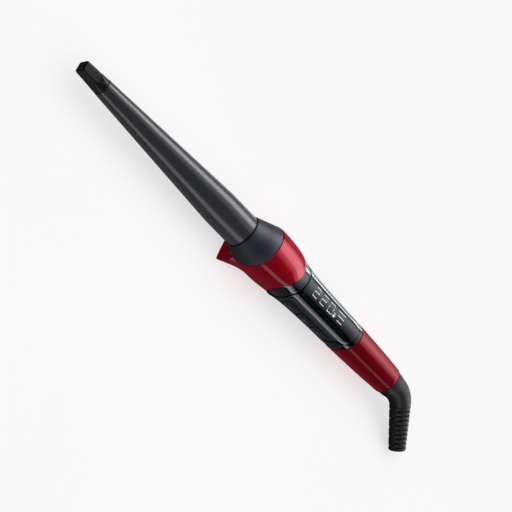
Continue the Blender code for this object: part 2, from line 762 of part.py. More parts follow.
def make_upper_shell(looks, wand):
    shell = skinned("handle_upper_shell", shell_rings(), looks["gloss_black"], wand, hollow=True)
    reach = 25 * MM
    cut(shell, block("below_upper", (20 * MM, -reach, -reach), (160 * MM, reach, SEAM), None, wand))
    for number, (x, shank, wall_at) in enumerate(SHELL_SCREWS, 1):
        length = wall_at + 0.5 * MM - GAP
        add_boss(shell, f"upper_boss_{number}", (x, 0, GAP), (0, 0, 1), length, shank + 1.9 * MM, wand)
    y, z = FLANGE_SCREW_AT
    add_boss(shell, "upper_flange_boss", (25.7 * MM, y, z), (1, 0, 0), 7.3 * MM, 2.6 * MM, wand)
    for number, (x, shank, wall_at) in enumerate(SHELL_SCREWS, 1):
        drill(shell, f"upper_pilot_{number}", (x, 0, 0), (0, 0, 1), wall_at * 0.75, shank + GAP, wand)
    drill(shell, "upper_flange_pilot", (25 * MM, y, z), (1, 0, 0), 7 * MM, 1.4 * MM, wand)
    return shell


def make_lower_shell(looks, wand):
    shell = skinned("handle_lower_shell", shell_rings(), looks["gloss_black"], wand, hollow=True)
    reach = 25 * MM
    cut(shell, block("above_lower", (20 * MM, -reach, -SEAM), (160 * MM, reach, reach), None, wand))
    for number, (x, shank, wall_at) in enumerate(SHELL_SCREWS, 1):
        length = wall_at + 0.5 * MM - GAP
        add_boss(shell, f"lower_boss_{number}", (x, 0, -GAP), (0, 0, -1), length, shank + 2.4 * MM, wand)
    y, z = (-value for value in FLANGE_SCREW_AT)
    add_boss(shell, "lower_flange_boss", (25.7 * MM, y, z), (1, 0, 0), 7.3 * MM, 2.6 * MM, wand)
    board_post = BOARD_UNDER - GAP
    for number, x in enumerate(BOARD_SCREWS, 1):
        post_at, pilot_at = (x, BOARD_SCREW_SIDE, board_post), (x, BOARD_SCREW_SIDE, BOARD_UNDER)
        add_boss(shell, f"board_post_{number}", post_at, (0, 0, -1), 5.4 * MM, 2.1 * MM, wand)
        drill(shell, f"board_pilot_{number}", pilot_at, (0, 0, -1), 5 * MM, 1.3 * MM, wand)
    for number, (x, shank, wall_at) in enumerate(SHELL_SCREWS, 1):
        drill(shell, f"lower_clearance_{number}", (x, 0, 0), (0, 0, -1), 18 * MM, shank + GAP, wand)
        head_at = (x, 0, -wall_at * HEAD_SHARE)
        drill(shell, f"lower_sink_{number}", head_at, (0, 0, -1), 10 * MM, shank + 1.3 * MM, wand, 16)
    drill(shell, "lower_flange_pilot", (25 * MM, y, z), (1, 0, 0), 7 * MM, 1.4 * MM, wand)
    return shell


def open_sides(upper, lower, wand):
    """The pockets for the side panels and the holes for the keys' stems, in both shells."""
    depths = (PANEL_DEPTH, -1.5 * MM)
    low, high = PANEL_ANGLES
    for name, angles in (("near_pocket", (low, high)), ("far_pocket", (-high, -low))):
        pocket = wrapped(name, angles, (PANEL_FRONT, PANEL_REAR), depths, None, wand, 3 * MM, 6, 8)
        cut(upper, pocket)
        cut(lower, pocket)
    for name, x in KEYS.items():
        for side, shell in (("upper", upper), ("lower", lower)):
            hole = f"{name}_stem_hole_{side}"
            drill(shell, hole, (x, -16 * MM, 0), (0, 1, 0), 8 * MM, STEM_RADIUS + GAP, wand)


def open_window(upper, wand):
    """The stepped opening for the display window."""
    angle = WINDOW_ANGLE
    pocket = wrapped("window_pocket", (-angle, angle), (WINDOW_FRONT, WINDOW_REAR),
                     (WINDOW_THICKNESS + GAP, -1.5 * MM), None, wand, 3 * MM, 6, 8)
    cut(upper, pocket)
    ledge = 1.2 * MM
    ledge_angle = math.radians(5)
    joints = (shifted(WINDOW_FRONT, ledge), shifted(WINDOW_REAR, -ledge))
    opening = wrapped("window_opening", (-angle + ledge_angle, angle - ledge_angle), joints,
                      (5 * MM, 1.2 * MM), None, wand, 2 * MM, 6, 6)
    cut(upper, opening)


def make_window(looks, wand):
    spare = GAP / handle_radius(80 * MM)
    angle = WINDOW_ANGLE - spare
    joints = (shifted(WINDOW_FRONT, GAP), shifted(WINDOW_REAR, -GAP))
    wrapped("display_window", (-angle, angle), joints, (WINDOW_THICKNESS, 0), looks["window_acrylic"], wand,
            2.7 * MM, 6, 8)


def make_side_panels(looks, wand):
    """The sunk panels. The near one has an opening for each key."""
    spare = GAP / handle_radius(80 * MM)
    low, high = PANEL_ANGLES[0] + spare, PANEL_ANGLES[1] - spare
    joints = (shifted(PANEL_FRONT, GAP), shifted(PANEL_REAR, -GAP))
    depths = (PANEL_DEPTH - GAP, PANEL_SUNK)
    panels = {}
    for name, angles in (("side_panel_near", (low, high)), ("side_panel_far", (-high, -low))):
        panels[name] = wrapped(name, angles, joints, depths, looks["panel_plastic"], wand, 2.7 * MM, 6, 8)
    room = 0.35 * MM
    for name, x in KEYS.items():
        reach = KEY_LENGTH / 2 + room
        angle = KEY_ANGLE + room / handle_radius(x)
        opening = wrapped(f"{name}_opening", (math.pi / 2 - angle, math.pi / 2 + angle),
                          (flat(x - reach), flat(x + reach)), (3 * MM, -1 * MM), None, wand,
                          KEY_CORNER + room, 4, 6)
        cut(panels["side_panel_near"], opening)


def make_keys(looks, wand):
    """The three keys, each with a stem that reaches its switch's plunger. A key travels along +Y."""
    for name, x in KEYS.items():
        reach = KEY_LENGTH / 2
        radius = handle_radius(x)
        key = wrapped(f"{name}_button", (math.pi / 2 - KEY_ANGLE, math.pi / 2 + KEY_ANGLE),
                      (flat(x - reach), flat(x + reach)), (KEY_HEIGHT, 0), looks["gloss_black"], wand,
                      KEY_CORNER, 4, 6)
        put_origin(key, (x, -radius, 0))
        stem_start = -radius + 0.7 * MM
        length = STEM_END - stem_start
        add_boss(key, f"{name}_stem", (x, stem_start, 0), (0, 1, 0), length, STEM_RADIUS, wand, 12)


def make_switches(looks, wand):
    """Side-operated switches at the board's edge, with plungers that travel with the keys."""
    half = 3 * MM
    face, rear = -9.0 * MM, -6.2 * MM
    for name, x in KEYS.items():
        case = block(f"{name}_switch", (x - half, face, BOARD_TOP + GAP), (x + half, rear, half),
                     looks["component_black"], wand)
        drill(case, f"{name}_switch_bore", (x, face - 1 * MM, 0), (0, 1, 0), 2.8 * MM, 1.1 * MM + GAP, wand)
        tip = STEM_END + GAP
        profile = [(0, 0.9 * MM), (0.2 * MM, 1.1 * MM), (2.1 * MM, 1.1 * MM)]
        plunger = turned(f"{name}_plunger", profile, looks["display_white"], wand, 12, hollow=False)
        aim(plunger, (x, tip, 0), (0, 1, 0))


def make_board(looks, wand):
    """The board, its large components and its screws."""
    board = block("main_board", *BOARD, looks["board_green"], wand)
    for number, x in enumerate(BOARD_SCREWS, 1):
        hole_at = (x, BOARD_SCREW_SIDE, BOARD_UNDER - 1 * MM)
        drill(board, f"board_hole_{number}", hole_at, (0, 0, 1), 4 * MM, 1.3 * MM, wand)
        head_at = (x, BOARD_SCREW_SIDE, BOARD_TOP + GAP)
        screw(f"board_screw_{number}", head_at, (0, 0, -1), (1.3 * MM, 1.9 * MM), (6.4 * MM, 1.0 * MM),
              looks["spring_steel"], wand)
    top, under = BOARD_TOP + GAP, BOARD_UNDER - GAP
    block("supply_capacitor", (44.8 * MM, -5.5 * MM, top), (56.5 * MM, 5.5 * MM, 5.3 * MM),
          looks["capacitor_yellow"], wand)
    block("triac", (46 * MM, -5 * MM, -9.3 * MM), (56 * MM, 5 * MM, under), looks["component_black"], wand)
    block("microcontroller", (68 * MM, -4.5 * MM, -6.3 * MM), (77 * MM, 4.5 * MM, under),
          looks["component_black"], wand)


def make_display(looks, wand):
    """The digits' light box. Its face slopes with the handle, close under the window."""
    front, rear, half = 61 * MM, 97.6 * MM, 4.6 * MM
    base = BOARD_TOP + GAP
    mesh = bmesh.new()
    ends = []
    for x in (front, rear):
        face = math.sqrt((handle_radius(x) - WINDOW_THICKNESS) ** 2 - half**2) - 0.4 * MM
        corners = ((-half, base), (half, base), (half, face), (-half, face))
        ends.append([mesh.verts.new((x, y, z)) for y, z in corners])
    for i in range(4):
        j = (i + 1) % 4
        mesh.faces.new((ends[0][i], ends[0][j], ends[1][j], ends[1][i]))
    mesh.faces.new(ends[0])
    mesh.faces.new(ends[1])
    body("display_box", mesh, looks["display_white"], wand, smooth=False)


def make_shell_screws(looks, wand):
    """Screws driven up through the lower shell's posts into the upper shell's."""
    for number, (x, shank, wall_at) in enumerate(SHELL_SCREWS, 1):
        head_at = (x, 0, -wall_at * HEAD_SHARE - GAP)
        length = wall_at * (HEAD_SHARE + 0.6)
        screw(f"shell_screw_{number}", head_at, (0, 0, 1), (1.6 * MM, shank + 1.0 * MM), (length, shank),
              looks["spring_steel"], wand)


def make_rear_sleeve(looks, wand):
    """The red sleeve, with a slanted front edge and a hole in its end for the spindle."""
    hole = SPINDLE_RADIUS + 0.7 * MM
    end_wall = SHELL_END + GAP
    rings = [cut_ring(SLEEVE_FRONT, handle_radius, 0.25 * MM)]
    bulk_end = flat(SLEEVE_END - 0.8 * MM)
    start = shifted(SLEEVE_FRONT, 0.3 * MM)
    rings += [cut_ring(between(start, bulk_end, t), handle_radius) for t in (0, 0.35, 0.65, 0.85, 1)]
    rings += [cut_ring(flat(SLEEVE_END), handle_radius, 0.6 * MM)]
    rings += [circle(SLEEVE_END, hole, SEGMENTS), circle(end_wall, hole, SEGMENTS)]
    rings += [cut_ring(flat(end_wall), handle_radius, SKIN), cut_ring(flat(135 * MM), handle_radius, SKIN)]
    rings += [cut_ring(SLEEVE_FRONT, handle_radius, SKIN)]
    skinned("rear_sleeve", rings, looks["red_lacquer"], wand, hollow=True)


# ---------------------------------------------------------------- swivel


def make_swivel_fixed(looks, wand):
    """The bush in the shells' end, the sprung contacts and the leads that feed them."""
    bore = SPINDLE_RADIUS + GAP
    bush = [(149.4 * MM, bore), (149.4 * MM, 6.0 * MM), (155.8 * MM, 6.0 * MM), (155.8 * MM, bore)]
    turned("swivel_bush", bush, looks["insulator"], wand, 20)
    anchor = 131.6
    for name, side, touch in (("live", 1, 140.5), ("neutral", -1, 145.0)):
        route = [(anchor, 3.9), (anchor, 6.3), (anchor + 3, 6.6)]
        route += [(touch - 1, 6.25), (touch, 6.05), (touch + 1.3, 6.4)]
        points = [(x * MM, side * z * MM) for x, z in route]
        strip(f"contact_leaf_{name}", points, 0.3 * MM, 1.2 * MM, looks["brass"], wand)
        path = [(88, 3, -5.8), (98, 4, -5), (113, 5, -1 + side)]
        path += [(123, 5.4, 1.5 * side), (130.9, 2.4, 5 * side)]
        points = [Vector((x, -side * y, z)) * MM for x, y, z in path]
        lead(f"supply_lead_{name}", points, 0.8 * MM, looks["lead_white"], wand)


def make_swivel_spindle(looks, swivel):
    """The hollow spindle with its two slip rings and its clip. X is measured from the elbow's front."""

    def tube(name, start, end, bore, radius, look, segments=20):
        profile = [(start, bore), (start, radius), (end, radius), (end, bore)]
        turned(name, [(x - ELBOW_FRONT, r) for x, r in profile], look, swivel, segments)

    tube("swivel_spindle", SPINDLE_FRONT, ELBOW_FRONT + 5.6 * MM, SPINDLE_BORE, SPINDLE_RADIUS,
         looks["tail_rubber"])
    bore = SPINDLE_RADIUS + GAP
    tube("slip_ring_live", 139.5 * MM, 141.5 * MM, bore, 5.6 * MM, looks["brass"])
    tube("slip_ring_neutral", 144.0 * MM, 146.0 * MM, bore, 5.6 * MM, looks["brass"])
    mesh = bmesh.new()
    opening = math.radians(30)
    count = 16
    turns = [opening + (2 * math.pi - 2 * opening) * i / count for i in range(count + 1)]
    rows = []
    for x in (148.1 * MM - ELBOW_FRONT, 148.9 * MM - ELBOW_FRONT):
        for radius in (bore, 6.0 * MM):
            rows.append([mesh.verts.new((x, radius * math.sin(a), radius * math.cos(a))) for a in turns])
    loop = [rows[0], rows[1], rows[3], rows[2]]
    for first, second in zip(loop, loop[1:] + loop[:1]):
        for i in range(count):
            mesh.faces.new((first[i], first[i + 1], second[i + 1], second[i]))
    for end in (0, count):
        mesh.faces.new([row[end] for row in loop])
    body("spindle_clip", mesh, looks["spring_steel"], swivel)


def tail_ring(along, radius, segments=20):
    """A ring square to the elbow's route, which runs straight and then bends towards TAIL_SIDE."""
    ahead = Vector((1, 0, 0))
    bend = min(max(along - ELBOW_STRAIGHT, 0) / ELBOW_BEND_RADIUS, ELBOW_BEND)
    middle = ahead * min(along, ELBOW_STRAIGHT)
    middle = middle + ahead * ELBOW_BEND_RADIUS * math.sin(bend)
    middle = middle + TAIL_SIDE * ELBOW_BEND_RADIUS * (1 - math.cos(bend))
    across = TAIL_SIDE * math.cos(bend) - ahead * math.sin(bend)
    other = ahead.cross(TAIL_SIDE)
    turns = [2 * math.pi * i / segments for i in range(segments)]
    return [middle + across * radius * math.cos(a) + other * radius * math.sin(a) for a in turns]


def make_elbow(looks, swivel):
    """The elbow: a disc against the sleeve, a socket for the spindle, and a tapering bend."""
    end = ELBOW_STRAIGHT + ELBOW_BEND_RADIUS * ELBOW_BEND
    outline = [(0, 9.5 * MM), (4 * MM, 9.3 * MM), (ELBOW_STRAIGHT, 8.8 * MM), (end, RELIEF_RADII[0])]
    rings = [tail_ring(0, 8.8 * MM)]
    stations = [0.4 * MM, 4 * MM, ELBOW_STRAIGHT]
    stations += [ELBOW_STRAIGHT + (end - ELBOW_STRAIGHT) * i / 6 for i in range(1, 7)]
    rings += [tail_ring(s, smooth_through(outline, s)) for s in stations]
    socket = 6.0 * MM
    inner = [(end, CORD_BORE), (end - 4 * MM, CORD_BORE), (ELBOW_STRAIGHT + 2 * MM, CORD_BORE)]
    inner += [(socket, CORD_BORE), (socket, SPINDLE_RADIUS + GAP), (0, SPINDLE_RADIUS + GAP)]
    rings += [tail_ring(s, radius) for s, radius in inner]
    skinned("swivel_elbow", rings, looks["tail_rubber"], swivel, hollow=True)


def make_strain_relief(looks, swivel):
    """The ribbed tail, square to the elbow's end, with a bore for the cord."""
    pitch = RELIEF_LENGTH / RIBS
    groove, groove_depth = 0.9 * MM, 0.9 * MM
    profile = [(0, CORD_BORE)]
    for rib in range(RIBS):
        start = rib * pitch
        radius = RELIEF_RADII[0] + (RELIEF_RADII[1] - RELIEF_RADII[0]) * rib / (RIBS - 1)
        profile += [(start, radius), (start + pitch - groove, radius - 0.05 * MM)]
        if rib < RIBS - 1:
            floor = radius - groove_depth
            profile += [(start + pitch - groove, floor), (start + pitch, floor)]
    profile += [(RELIEF_LENGTH - groove, CORD_BORE)]
    relief = turned("strain_relief", profile, looks["tail_rubber"], swivel, 14)
    end = ELBOW_STRAIGHT + ELBOW_BEND_RADIUS * ELBOW_BEND
    ring = tail_ring(end, 1 * MM)
    direction = Vector((1, 0, 0)) * math.cos(ELBOW_BEND) + TAIL_SIDE * math.sin(ELBOW_BEND)
    middle = sum(ring, Vector()) / len(ring)
    aim(relief, middle + direction * GAP, direction)


# ---------------------------------------------------------------- the whole wand


def clear_scene():
    for found in list(bpy.data.objects):
        bpy.data.objects.remove(found)


def add_empty(name, at, parent=None):
    made = bpy.data.objects.new(name, None)
    bpy.context.scene.collection.objects.link(made)
    made.parent = parent
    made.location = at
    return made


def main():
    clear_scene()
    looks = finishes()
    wand = add_empty("wand_axis", (-BALANCE, 0, AXIS_HEIGHT))
    swivel = add_empty("swivel_axis", (ELBOW_FRONT, 0, 0), wand)
    for make in (make_barrel, make_cool_tip, make_tip_plug, make_heater, make_sensors, make_barrel_leads):
        make(looks, wand)
    for make in (make_flange, make_collar, make_front_bell, make_trim_rings):
        make(looks, wand)
    upper = make_upper_shell(looks, wand)
    lower = make_lower_shell(looks, wand)
    open_sides(upper, lower, wand)
    open_window(upper, wand)
    for make in (make_window, make_side_panels, make_keys, make_switches, make_board, make_display):
        make(looks, wand)
    for make in (make_shell_screws, make_rear_sleeve, make_swivel_fixed):
        make(looks, wand)
    for make in (make_swivel_spindle, make_elbow, make_strain_relief):
        make(looks, swivel)


main()
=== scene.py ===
"""The looks of a curling wand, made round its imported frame.

Stations run along the wand's axis from the joint of barrel and collar, towards the tail. Angles round the
wand are measured from the top, where the display is, towards the side with the keys.
"""

import json
import math

import bmesh
import bpy
from mathutils import Matrix, Vector

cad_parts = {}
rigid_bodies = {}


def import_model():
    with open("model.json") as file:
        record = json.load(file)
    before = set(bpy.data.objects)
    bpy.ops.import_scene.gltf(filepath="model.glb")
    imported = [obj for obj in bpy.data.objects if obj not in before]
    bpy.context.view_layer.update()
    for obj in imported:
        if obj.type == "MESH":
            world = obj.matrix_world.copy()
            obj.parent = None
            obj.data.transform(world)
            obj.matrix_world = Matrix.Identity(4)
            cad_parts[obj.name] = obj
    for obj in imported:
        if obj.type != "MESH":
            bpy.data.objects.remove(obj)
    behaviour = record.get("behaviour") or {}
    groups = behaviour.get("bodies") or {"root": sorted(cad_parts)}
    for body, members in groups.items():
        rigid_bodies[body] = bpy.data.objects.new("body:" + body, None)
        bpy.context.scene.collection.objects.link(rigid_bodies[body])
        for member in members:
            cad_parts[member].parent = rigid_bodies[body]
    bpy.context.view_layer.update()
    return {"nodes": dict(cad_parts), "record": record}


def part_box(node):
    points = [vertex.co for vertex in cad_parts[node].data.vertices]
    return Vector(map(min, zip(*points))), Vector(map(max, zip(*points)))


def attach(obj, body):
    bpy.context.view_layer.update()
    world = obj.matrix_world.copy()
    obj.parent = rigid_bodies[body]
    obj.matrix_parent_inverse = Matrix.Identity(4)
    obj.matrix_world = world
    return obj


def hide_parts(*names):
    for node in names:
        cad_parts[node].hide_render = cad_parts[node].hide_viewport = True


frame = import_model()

MM = 0.001
GAP = 0.3 * MM
SEAM = 0.15 * MM
SEAL_LOW, SEAL_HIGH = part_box("barrel_seal")
SEAL_FRONT = 0.8 * MM
AXIS_START = Vector((SEAL_LOW.x - SEAL_FRONT, 0, (SEAL_LOW.z + SEAL_HIGH.z) / 2))
TIP_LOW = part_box("cool_tip")[0]
BARREL_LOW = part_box("barrel")[0]
ELBOW_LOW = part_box("swivel_elbow")[0]


def slanted(station, slope, curve=0.0, lowest=-40.0 * MM):
    """A joint between two pieces, as the station where it is at each height above the axis.
    It crosses the axis at a station, leans and curves, and is square to it below the lowest height."""
    ease = 1.2 * MM

    def joint(height):
        eased = lowest + ease * math.log1p(math.exp((height - lowest) / ease))
        return station + slope * eased + curve * eased**2

    return joint


def flat(station):
    """A joint square to the axis."""
    return slanted(station, 0.0)


def shifted(joint, distance):
    return lambda height: joint(height) + distance


def between(first, second, t):
    """The joint a share t of the way from one to another."""
    return lambda height: first(height) + (second(height) - first(height)) * t


# barrel and tip
TIP_END = TIP_LOW.x - AXIS_START.x
BARREL_FRONT = BARREL_LOW.x - AXIS_START.x
BARREL_STRAIGHT = -23.0 * MM
BARREL_RADIUS = 12.5 * MM
BARREL_FRONT_RADIUS = 6.5 * MM
BARREL_WALL = 1.2 * MM
NECK_RADIUS = 11.2 * MM
NECK_END = 20.5 * MM
TIP_RADIUS = 6.35 * MM
TIP_FLAT = 5.0 * MM
TIP_DISH = [(0.4 * MM, 2.5 * MM, 2.4 * MM), (0.6 * MM, 3.0 * MM, 2.9 * MM)]

# handle
SEAL_END = 1.3 * MM
COLLAR_FRONT = SEAL_END + SEAM
BELL_MOUTH = slanted(14.9 * MM, 0.392, -7.16)
BELL_REAR = slanted(40.9 * MM, -0.484, 53.8, -2.0 * MM)
FRONT_GROOVE = slanted(49.2 * MM, 0.40, 0.0, -8.0 * MM)
REAR_GROOVE = slanted(103.5 * MM, 0.60)
SLEEVE_FRONT = slanted(109.0 * MM, 0.45)
SHELL_FRONT = 24.0 * MM
SHELL_END = 156.0 * MM
SPIGOT_MIDDLE = 135.0 * MM
SLEEVE_END = 158.0 * MM
HANDLE_OUTLINE = [
    (station * MM, radius * MM)
    for station, radius in (
        (0, 18.3), (22, 18.75), (34, 18.2), (48, 16.35), (60, 14.8), (80, 13.65), (112, 12.75),
        (140, 11.5), (158, 10.25),
    )
]
SKIN = 1.8 * MM
SPIGOT_INSET = SKIN + GAP
SHELL_WALL = 1.6 * MM
GRIP_WALL = 2.9 * MM
HALF_GROOVE = 0.25 * MM
GRIP_MIDDLE = 80.0 * MM

# stand foot
AXIS_HEIGHT = AXIS_START.z
FOOT_WIDTH = 34.4 * MM
FOOT_REAR_WIDTH = 18.0 * MM
FOOT_FRONT_END = 7.0 * MM
FOOT_FLAT_END = 26.0 * MM
FOOT_FADE_END = 31.5 * MM
FOOT_SWEEP = 1.4 * MM
BELL_RISE = 1.7 * MM
BELL_PROUD = 0.35 * MM

# side panels, window and keys
PANEL_ANGLES = (math.radians(56), math.radians(124))
PANEL_FRONT = slanted(51.1 * MM, 0.40)
PANEL_REAR = slanted(99.5 * MM, 0.55)
PANEL_DEPTH = 1.9 * MM
PANEL_SUNK = 0.5 * MM
PANEL_CORNER = 3.0 * MM
WINDOW_ANGLE = math.radians(34)
WINDOW_FRONT = slanted(52.6 * MM, 0.40)
WINDOW_REAR = slanted(96.5 * MM, 0.60)
WINDOW_THICKNESS = 1.6 * MM
KEYS = {"minus": 62.0 * MM, "power": 76.5 * MM, "plus": 91.0 * MM}
KEY_LENGTH = 12.6 * MM
KEY_ANGLE = math.radians(16.5)
KEY_CORNER = 1.5 * MM
KEY_HEIGHT = 1.15 * MM
STEM_END = -10.4 * MM

# marks: the ends of each segment of a digit, as shares of its width and height
SEGMENT_ENDS = {
    "a": ((0, 1), (1, 1)),
    "b": ((1, 1), (1, 0.5)),
    "c": ((1, 0.5), (1, 0)),
    "d": ((0, 0), (1, 0)),
    "e": ((0, 0.5), (0, 0)),
    "f": ((0, 1), (0, 0.5)),
    "g": ((0, 0.5), (1, 0.5)),
}
DIGIT_SEGMENTS = {"2": "abged", "0": "abcdef"}
DIGITS_START = 63.5 * MM
DIGITS_BASE = -3.8 * MM
DIGIT_WIDTH, DIGIT_HEIGHT, DIGIT_PITCH = 4.4 * MM, 7.1 * MM, 8.0 * MM
DIGIT_LEAN = 0.4 * MM
STROKE = 0.5 * MM
LOCK_MIDDLE = 86.4 * MM
LEVELS_END = 95.2 * MM
LEVELS = [(6.6 * MM, 0.97), (5.9 * MM, 0.5), (4.6 * MM, 0.04)]

# swivel tail
ELBOW_FRONT = ELBOW_LOW.x - AXIS_START.x
ELBOW_STRAIGHT = 6.5 * MM
ELBOW_BEND_RADIUS = 18.0 * MM
ELBOW_BEND = math.radians(45.6)
TAIL_SIDE = Vector((0, -0.9, -0.436)).normalized()
RELIEF_LENGTH = 32.5 * MM
RELIEF_RADII = (7.3 * MM, 6.0 * MM)
RIBS = 10
CORD_BORE = 2.6 * MM
SLOT_MIDDLE = 245  # degrees round the tail, from its inner side

# the view: camera axes in the wand's space, distance to the barrel's end, and where the camera aims
CAMERA_RIGHT = Vector((0.6217, 0.4508, 0.6405))
CAMERA_UP = Vector((-0.6382, 0.7657, 0.0806))
TO_CAMERA = Vector((-0.4540, -0.4589, 0.7638))
CAMERA_DISTANCE = 2.3
CAMERA_LENS = 247.8
CAMERA_AIM = (9.46 * MM, -16.71 * MM)

SEGMENTS = 144

# shown materials: colour, roughness, the shader's other values, then the variation of colour as
# (noise, first, second), of roughness as (noise, low, high) and the grain as (noise, height in mm)
ALONG = (0.3, 1, 1)
LOOKS = {
    # dark satin ceramic on metal, faintly mottled
    "ceramic_coat": (
        (0.12, 0.125, 0.14), 0.25, {"Metallic": 0.8},
        ((900, 4), (0.114, 0.118, 0.127), (0.126, 0.130, 0.139)),
        ((350, 5, ALONG), 0.235, 0.275), ((9000, 2), 0.004),
    ),
    "tip_plastic": (
        (0.006, 0.006, 0.008), 0.22, {}, None, ((500, 4), 0.18, 0.27), ((5000, 2), 0.003),
    ),
    # moulded heat-resistant plastic with a fine spark-eroded texture
    "collar_plastic": (
        (0.02, 0.022, 0.028), 0.45, {"Specular_IOR_Level": 0.6},
        ((1200, 4), (0.0185, 0.0205, 0.0265), (0.0225, 0.0245, 0.0305)),
        ((700, 4), 0.42, 0.49), ((7000, 3), 0.008),
    ),
    "seal_rubber": ((0.004, 0.004, 0.005), 0.5, {}, None, ((2000, 3), 0.45, 0.6), None),
    "red_lacquer": (
        (0.48, 0.002, 0.026), 0.55,
        {
            "Metallic": 0.45, "Specular_IOR_Level": 0.0,
            "Coat_Weight": 1.0, "Coat_Roughness": 0.04, "Coat_IOR": 1.75,
        },
        None, None, None,
    ),
    # piano black with the faintest unevenness and hairline wear
    "gloss_black": (
        (0.0015, 0.0015, 0.002), 0.07, {}, None,
        ((260, 5, (0.25, 1, 1)), 0.045, 0.08), ((140, 2), 0.004),
    ),
    "window_acrylic": ((0.0025, 0.0025, 0.003), 0.05, {}, None, ((300, 4), 0.04, 0.075), None),
    "panel_plastic": (
        (0.006, 0.006, 0.009), 0.32, {}, None, ((900, 4), 0.28, 0.38), ((6000, 3), 0.006),
    ),
    "key_plastic": ((0.003, 0.003, 0.004), 0.16, {}, None, ((600, 4), 0.13, 0.21), None),
    # soft black thermoplastic with a fine matt grain
    "tail_rubber": (
        (0.010, 0.011, 0.013), 0.38, {}, ((1000, 4), (0.008, 0.009, 0.011), (0.012, 0.013, 0.016)),
        ((800, 4), 0.34, 0.44), ((5000, 3), 0.008),
    ),
    # the display's lit marks
    "lit_white": (
        (0.75, 0.77, 0.8), 0.3, {"Emission_Color": (0.9, 0.92, 1, 1), "Emission_Strength": 0.25},
        None, ((900, 3), 0.25, 0.35), None,
    ),
    "key_print": ((0.10, 0.105, 0.11), 0.4, {}, None, ((1500, 3), 0.35, 0.5), None),
}

# pieces inside the casing: colour, roughness, metallic
INNER_LOOKS = {
    "insulator": ((0.5, 0.45, 0.36), 0.6, 0.0),
    "cast_aluminium": ((0.6, 0.61, 0.63), 0.38, 1.0),
    "ptc_ceramic": ((0.3, 0.17, 0.06), 0.45, 0.0),
    "spring_steel": ((0.55, 0.55, 0.57), 0.28, 1.0),
    "brass": ((0.75, 0.52, 0.2), 0.3, 1.0),
    "board_green": ((0.015, 0.13, 0.05), 0.4, 0.0),
    "component_black": ((0.015, 0.015, 0.016), 0.5, 0.0),
    "capacitor_yellow": ((0.65, 0.42, 0.03), 0.4, 0.0),
    "lead_white": ((0.7, 0.68, 0.64), 0.8, 0.0),
    "lead_red": ((0.4, 0.02, 0.015), 0.5, 0.0),
    "display_white": ((0.75, 0.77, 0.8), 0.5, 0.0),
}

# studio: strips of light for each group of pieces as (first angle, last angle, radiance).
# Where strips overlap, they add up to a soft edge.
STRIP_LENGTH = 2.4
FLOOR_SIZE = 4.0
TIP_RIM_SIDE = Vector((-0.95, 0.12, -0.25))
COOL_TINT = (0.92, 0.99, 1.07)
ROSE_TINT = (1.08, 0.62, 0.68)
TINTS = {"collar": COOL_TINT, "gloss": COOL_TINT, "bell": ROSE_TINT, "sleeve": ROSE_TINT}
LIGHTS = {
    "barrel": [
        (-19, -3, 2.6), (-22, 14, 0.45), (-42, -20, 0.3), (50, 64, 0.9), (-56, -38, 0.8),
        (14, 50, 0.12), (70, 110, 0.14),
    ],
    "collar": [
        (-22, 2, 3.2), (-26, 18, 1.1), (42, 70, 0.55), (-50, -36, 0.4), (0, 60, 0.4),
    ],
    "bell": [
        (-24, 12, 0.55), (-20, 6, 0.85), (-15, 3, 0.85), (-11, 1, 0.45), (2, 18, 0.25),
        (47.5, 54.5, 0.8), (-56, -30, 0.14), (70, 100, 0.03),
    ],
    "sleeve": [
        (-28, 9, 0.45), (-22, 4, 0.5), (-15, -2, 0.7), (-44, -26, 0.25), (44, 51, 0.5),
        (80, 100, 0.03),
    ],
    "gloss": [
        (-22, 22, 0.28), (-21, 18, 0.25), (-20, 14, 0.3), (-19, 10, 0.3), (-18, 6, 0.4),
        (-16, 2, 0.5), (-13, -2, 0.45), (43, 54, 1.2), (46, 54, 1.4), (49.5, 54, 2.2),
        (-35, -27.5, 7.0), (-50, -39, 1.3), (66, 100, 0.16),
    ],
    "tail": [
        (-20, 4, 1.2), (-22, 20, 0.5), (44, 58, 1.0), (-50, -30, 1.0),
    ],
}


# ---- outlines


def smooth_through(points, at):
    """The value at a station of the smooth curve through (station, value) points."""
    at = min(max(at, points[0][0]), points[-1][0])
    last = len(points) - 1
    slopes = []
    for i in range(len(points)):
        before = points[max(i - 1, 0)]
        after = points[min(i + 1, last)]
        slopes.append((after[1] - before[1]) / (after[0] - before[0]))
    i = min(max(k for k in range(len(points)) if points[k][0] <= at), last - 1)
    span = points[i + 1][0] - points[i][0]
    t = (at - points[i][0]) / span
    return (
        (2 * t**3 - 3 * t**2 + 1) * points[i][1]
        + (t**3 - 2 * t**2 + t) * span * slopes[i]
        + (3 * t**2 - 2 * t**3) * points[i + 1][1]
        + (t**3 - t**2) * span * slopes[i + 1]
    )


def fade(value, start, end):
    """0 before start, 1 after end, smooth between."""
    t = min(max((value - start) / (end - start), 0), 1)
    return t * t * (3 - 2 * t)


def handle_radius(x):
    return smooth_through(HANDLE_OUTLINE, x)


def rise(x, upward):
    """How far the bell and its trim ring stand out where they face up, and in where they face down.
    upward is 1 at the top and -1 at the bottom."""
    return BELL_RISE * fade(x, 6 * MM, 20 * MM) * (1 - fade(x, 40 * MM, 54 * MM)) * max(upward, -0.5)


def bell_radius(x):
    """The bell's outline: it carries on from the collar and then follows the handle."""
    return min(handle_radius(x), collar_radius(x) + BELL_PROUD)


def collar_radius(x):
    end = 24.0 * MM
    to_end = max(end - x, 0) / (end - COLLAR_FRONT)
    return 18.7 * MM - 5.7 * MM * to_end**1.5


def barrel_radius(x):
    t = (x - BARREL_FRONT) / (BARREL_STRAIGHT - BARREL_FRONT)
    taper = BARREL_FRONT_RADIUS + (BARREL_RADIUS - BARREL_FRONT_RADIUS) * t
    return min(taper, BARREL_RADIUS)


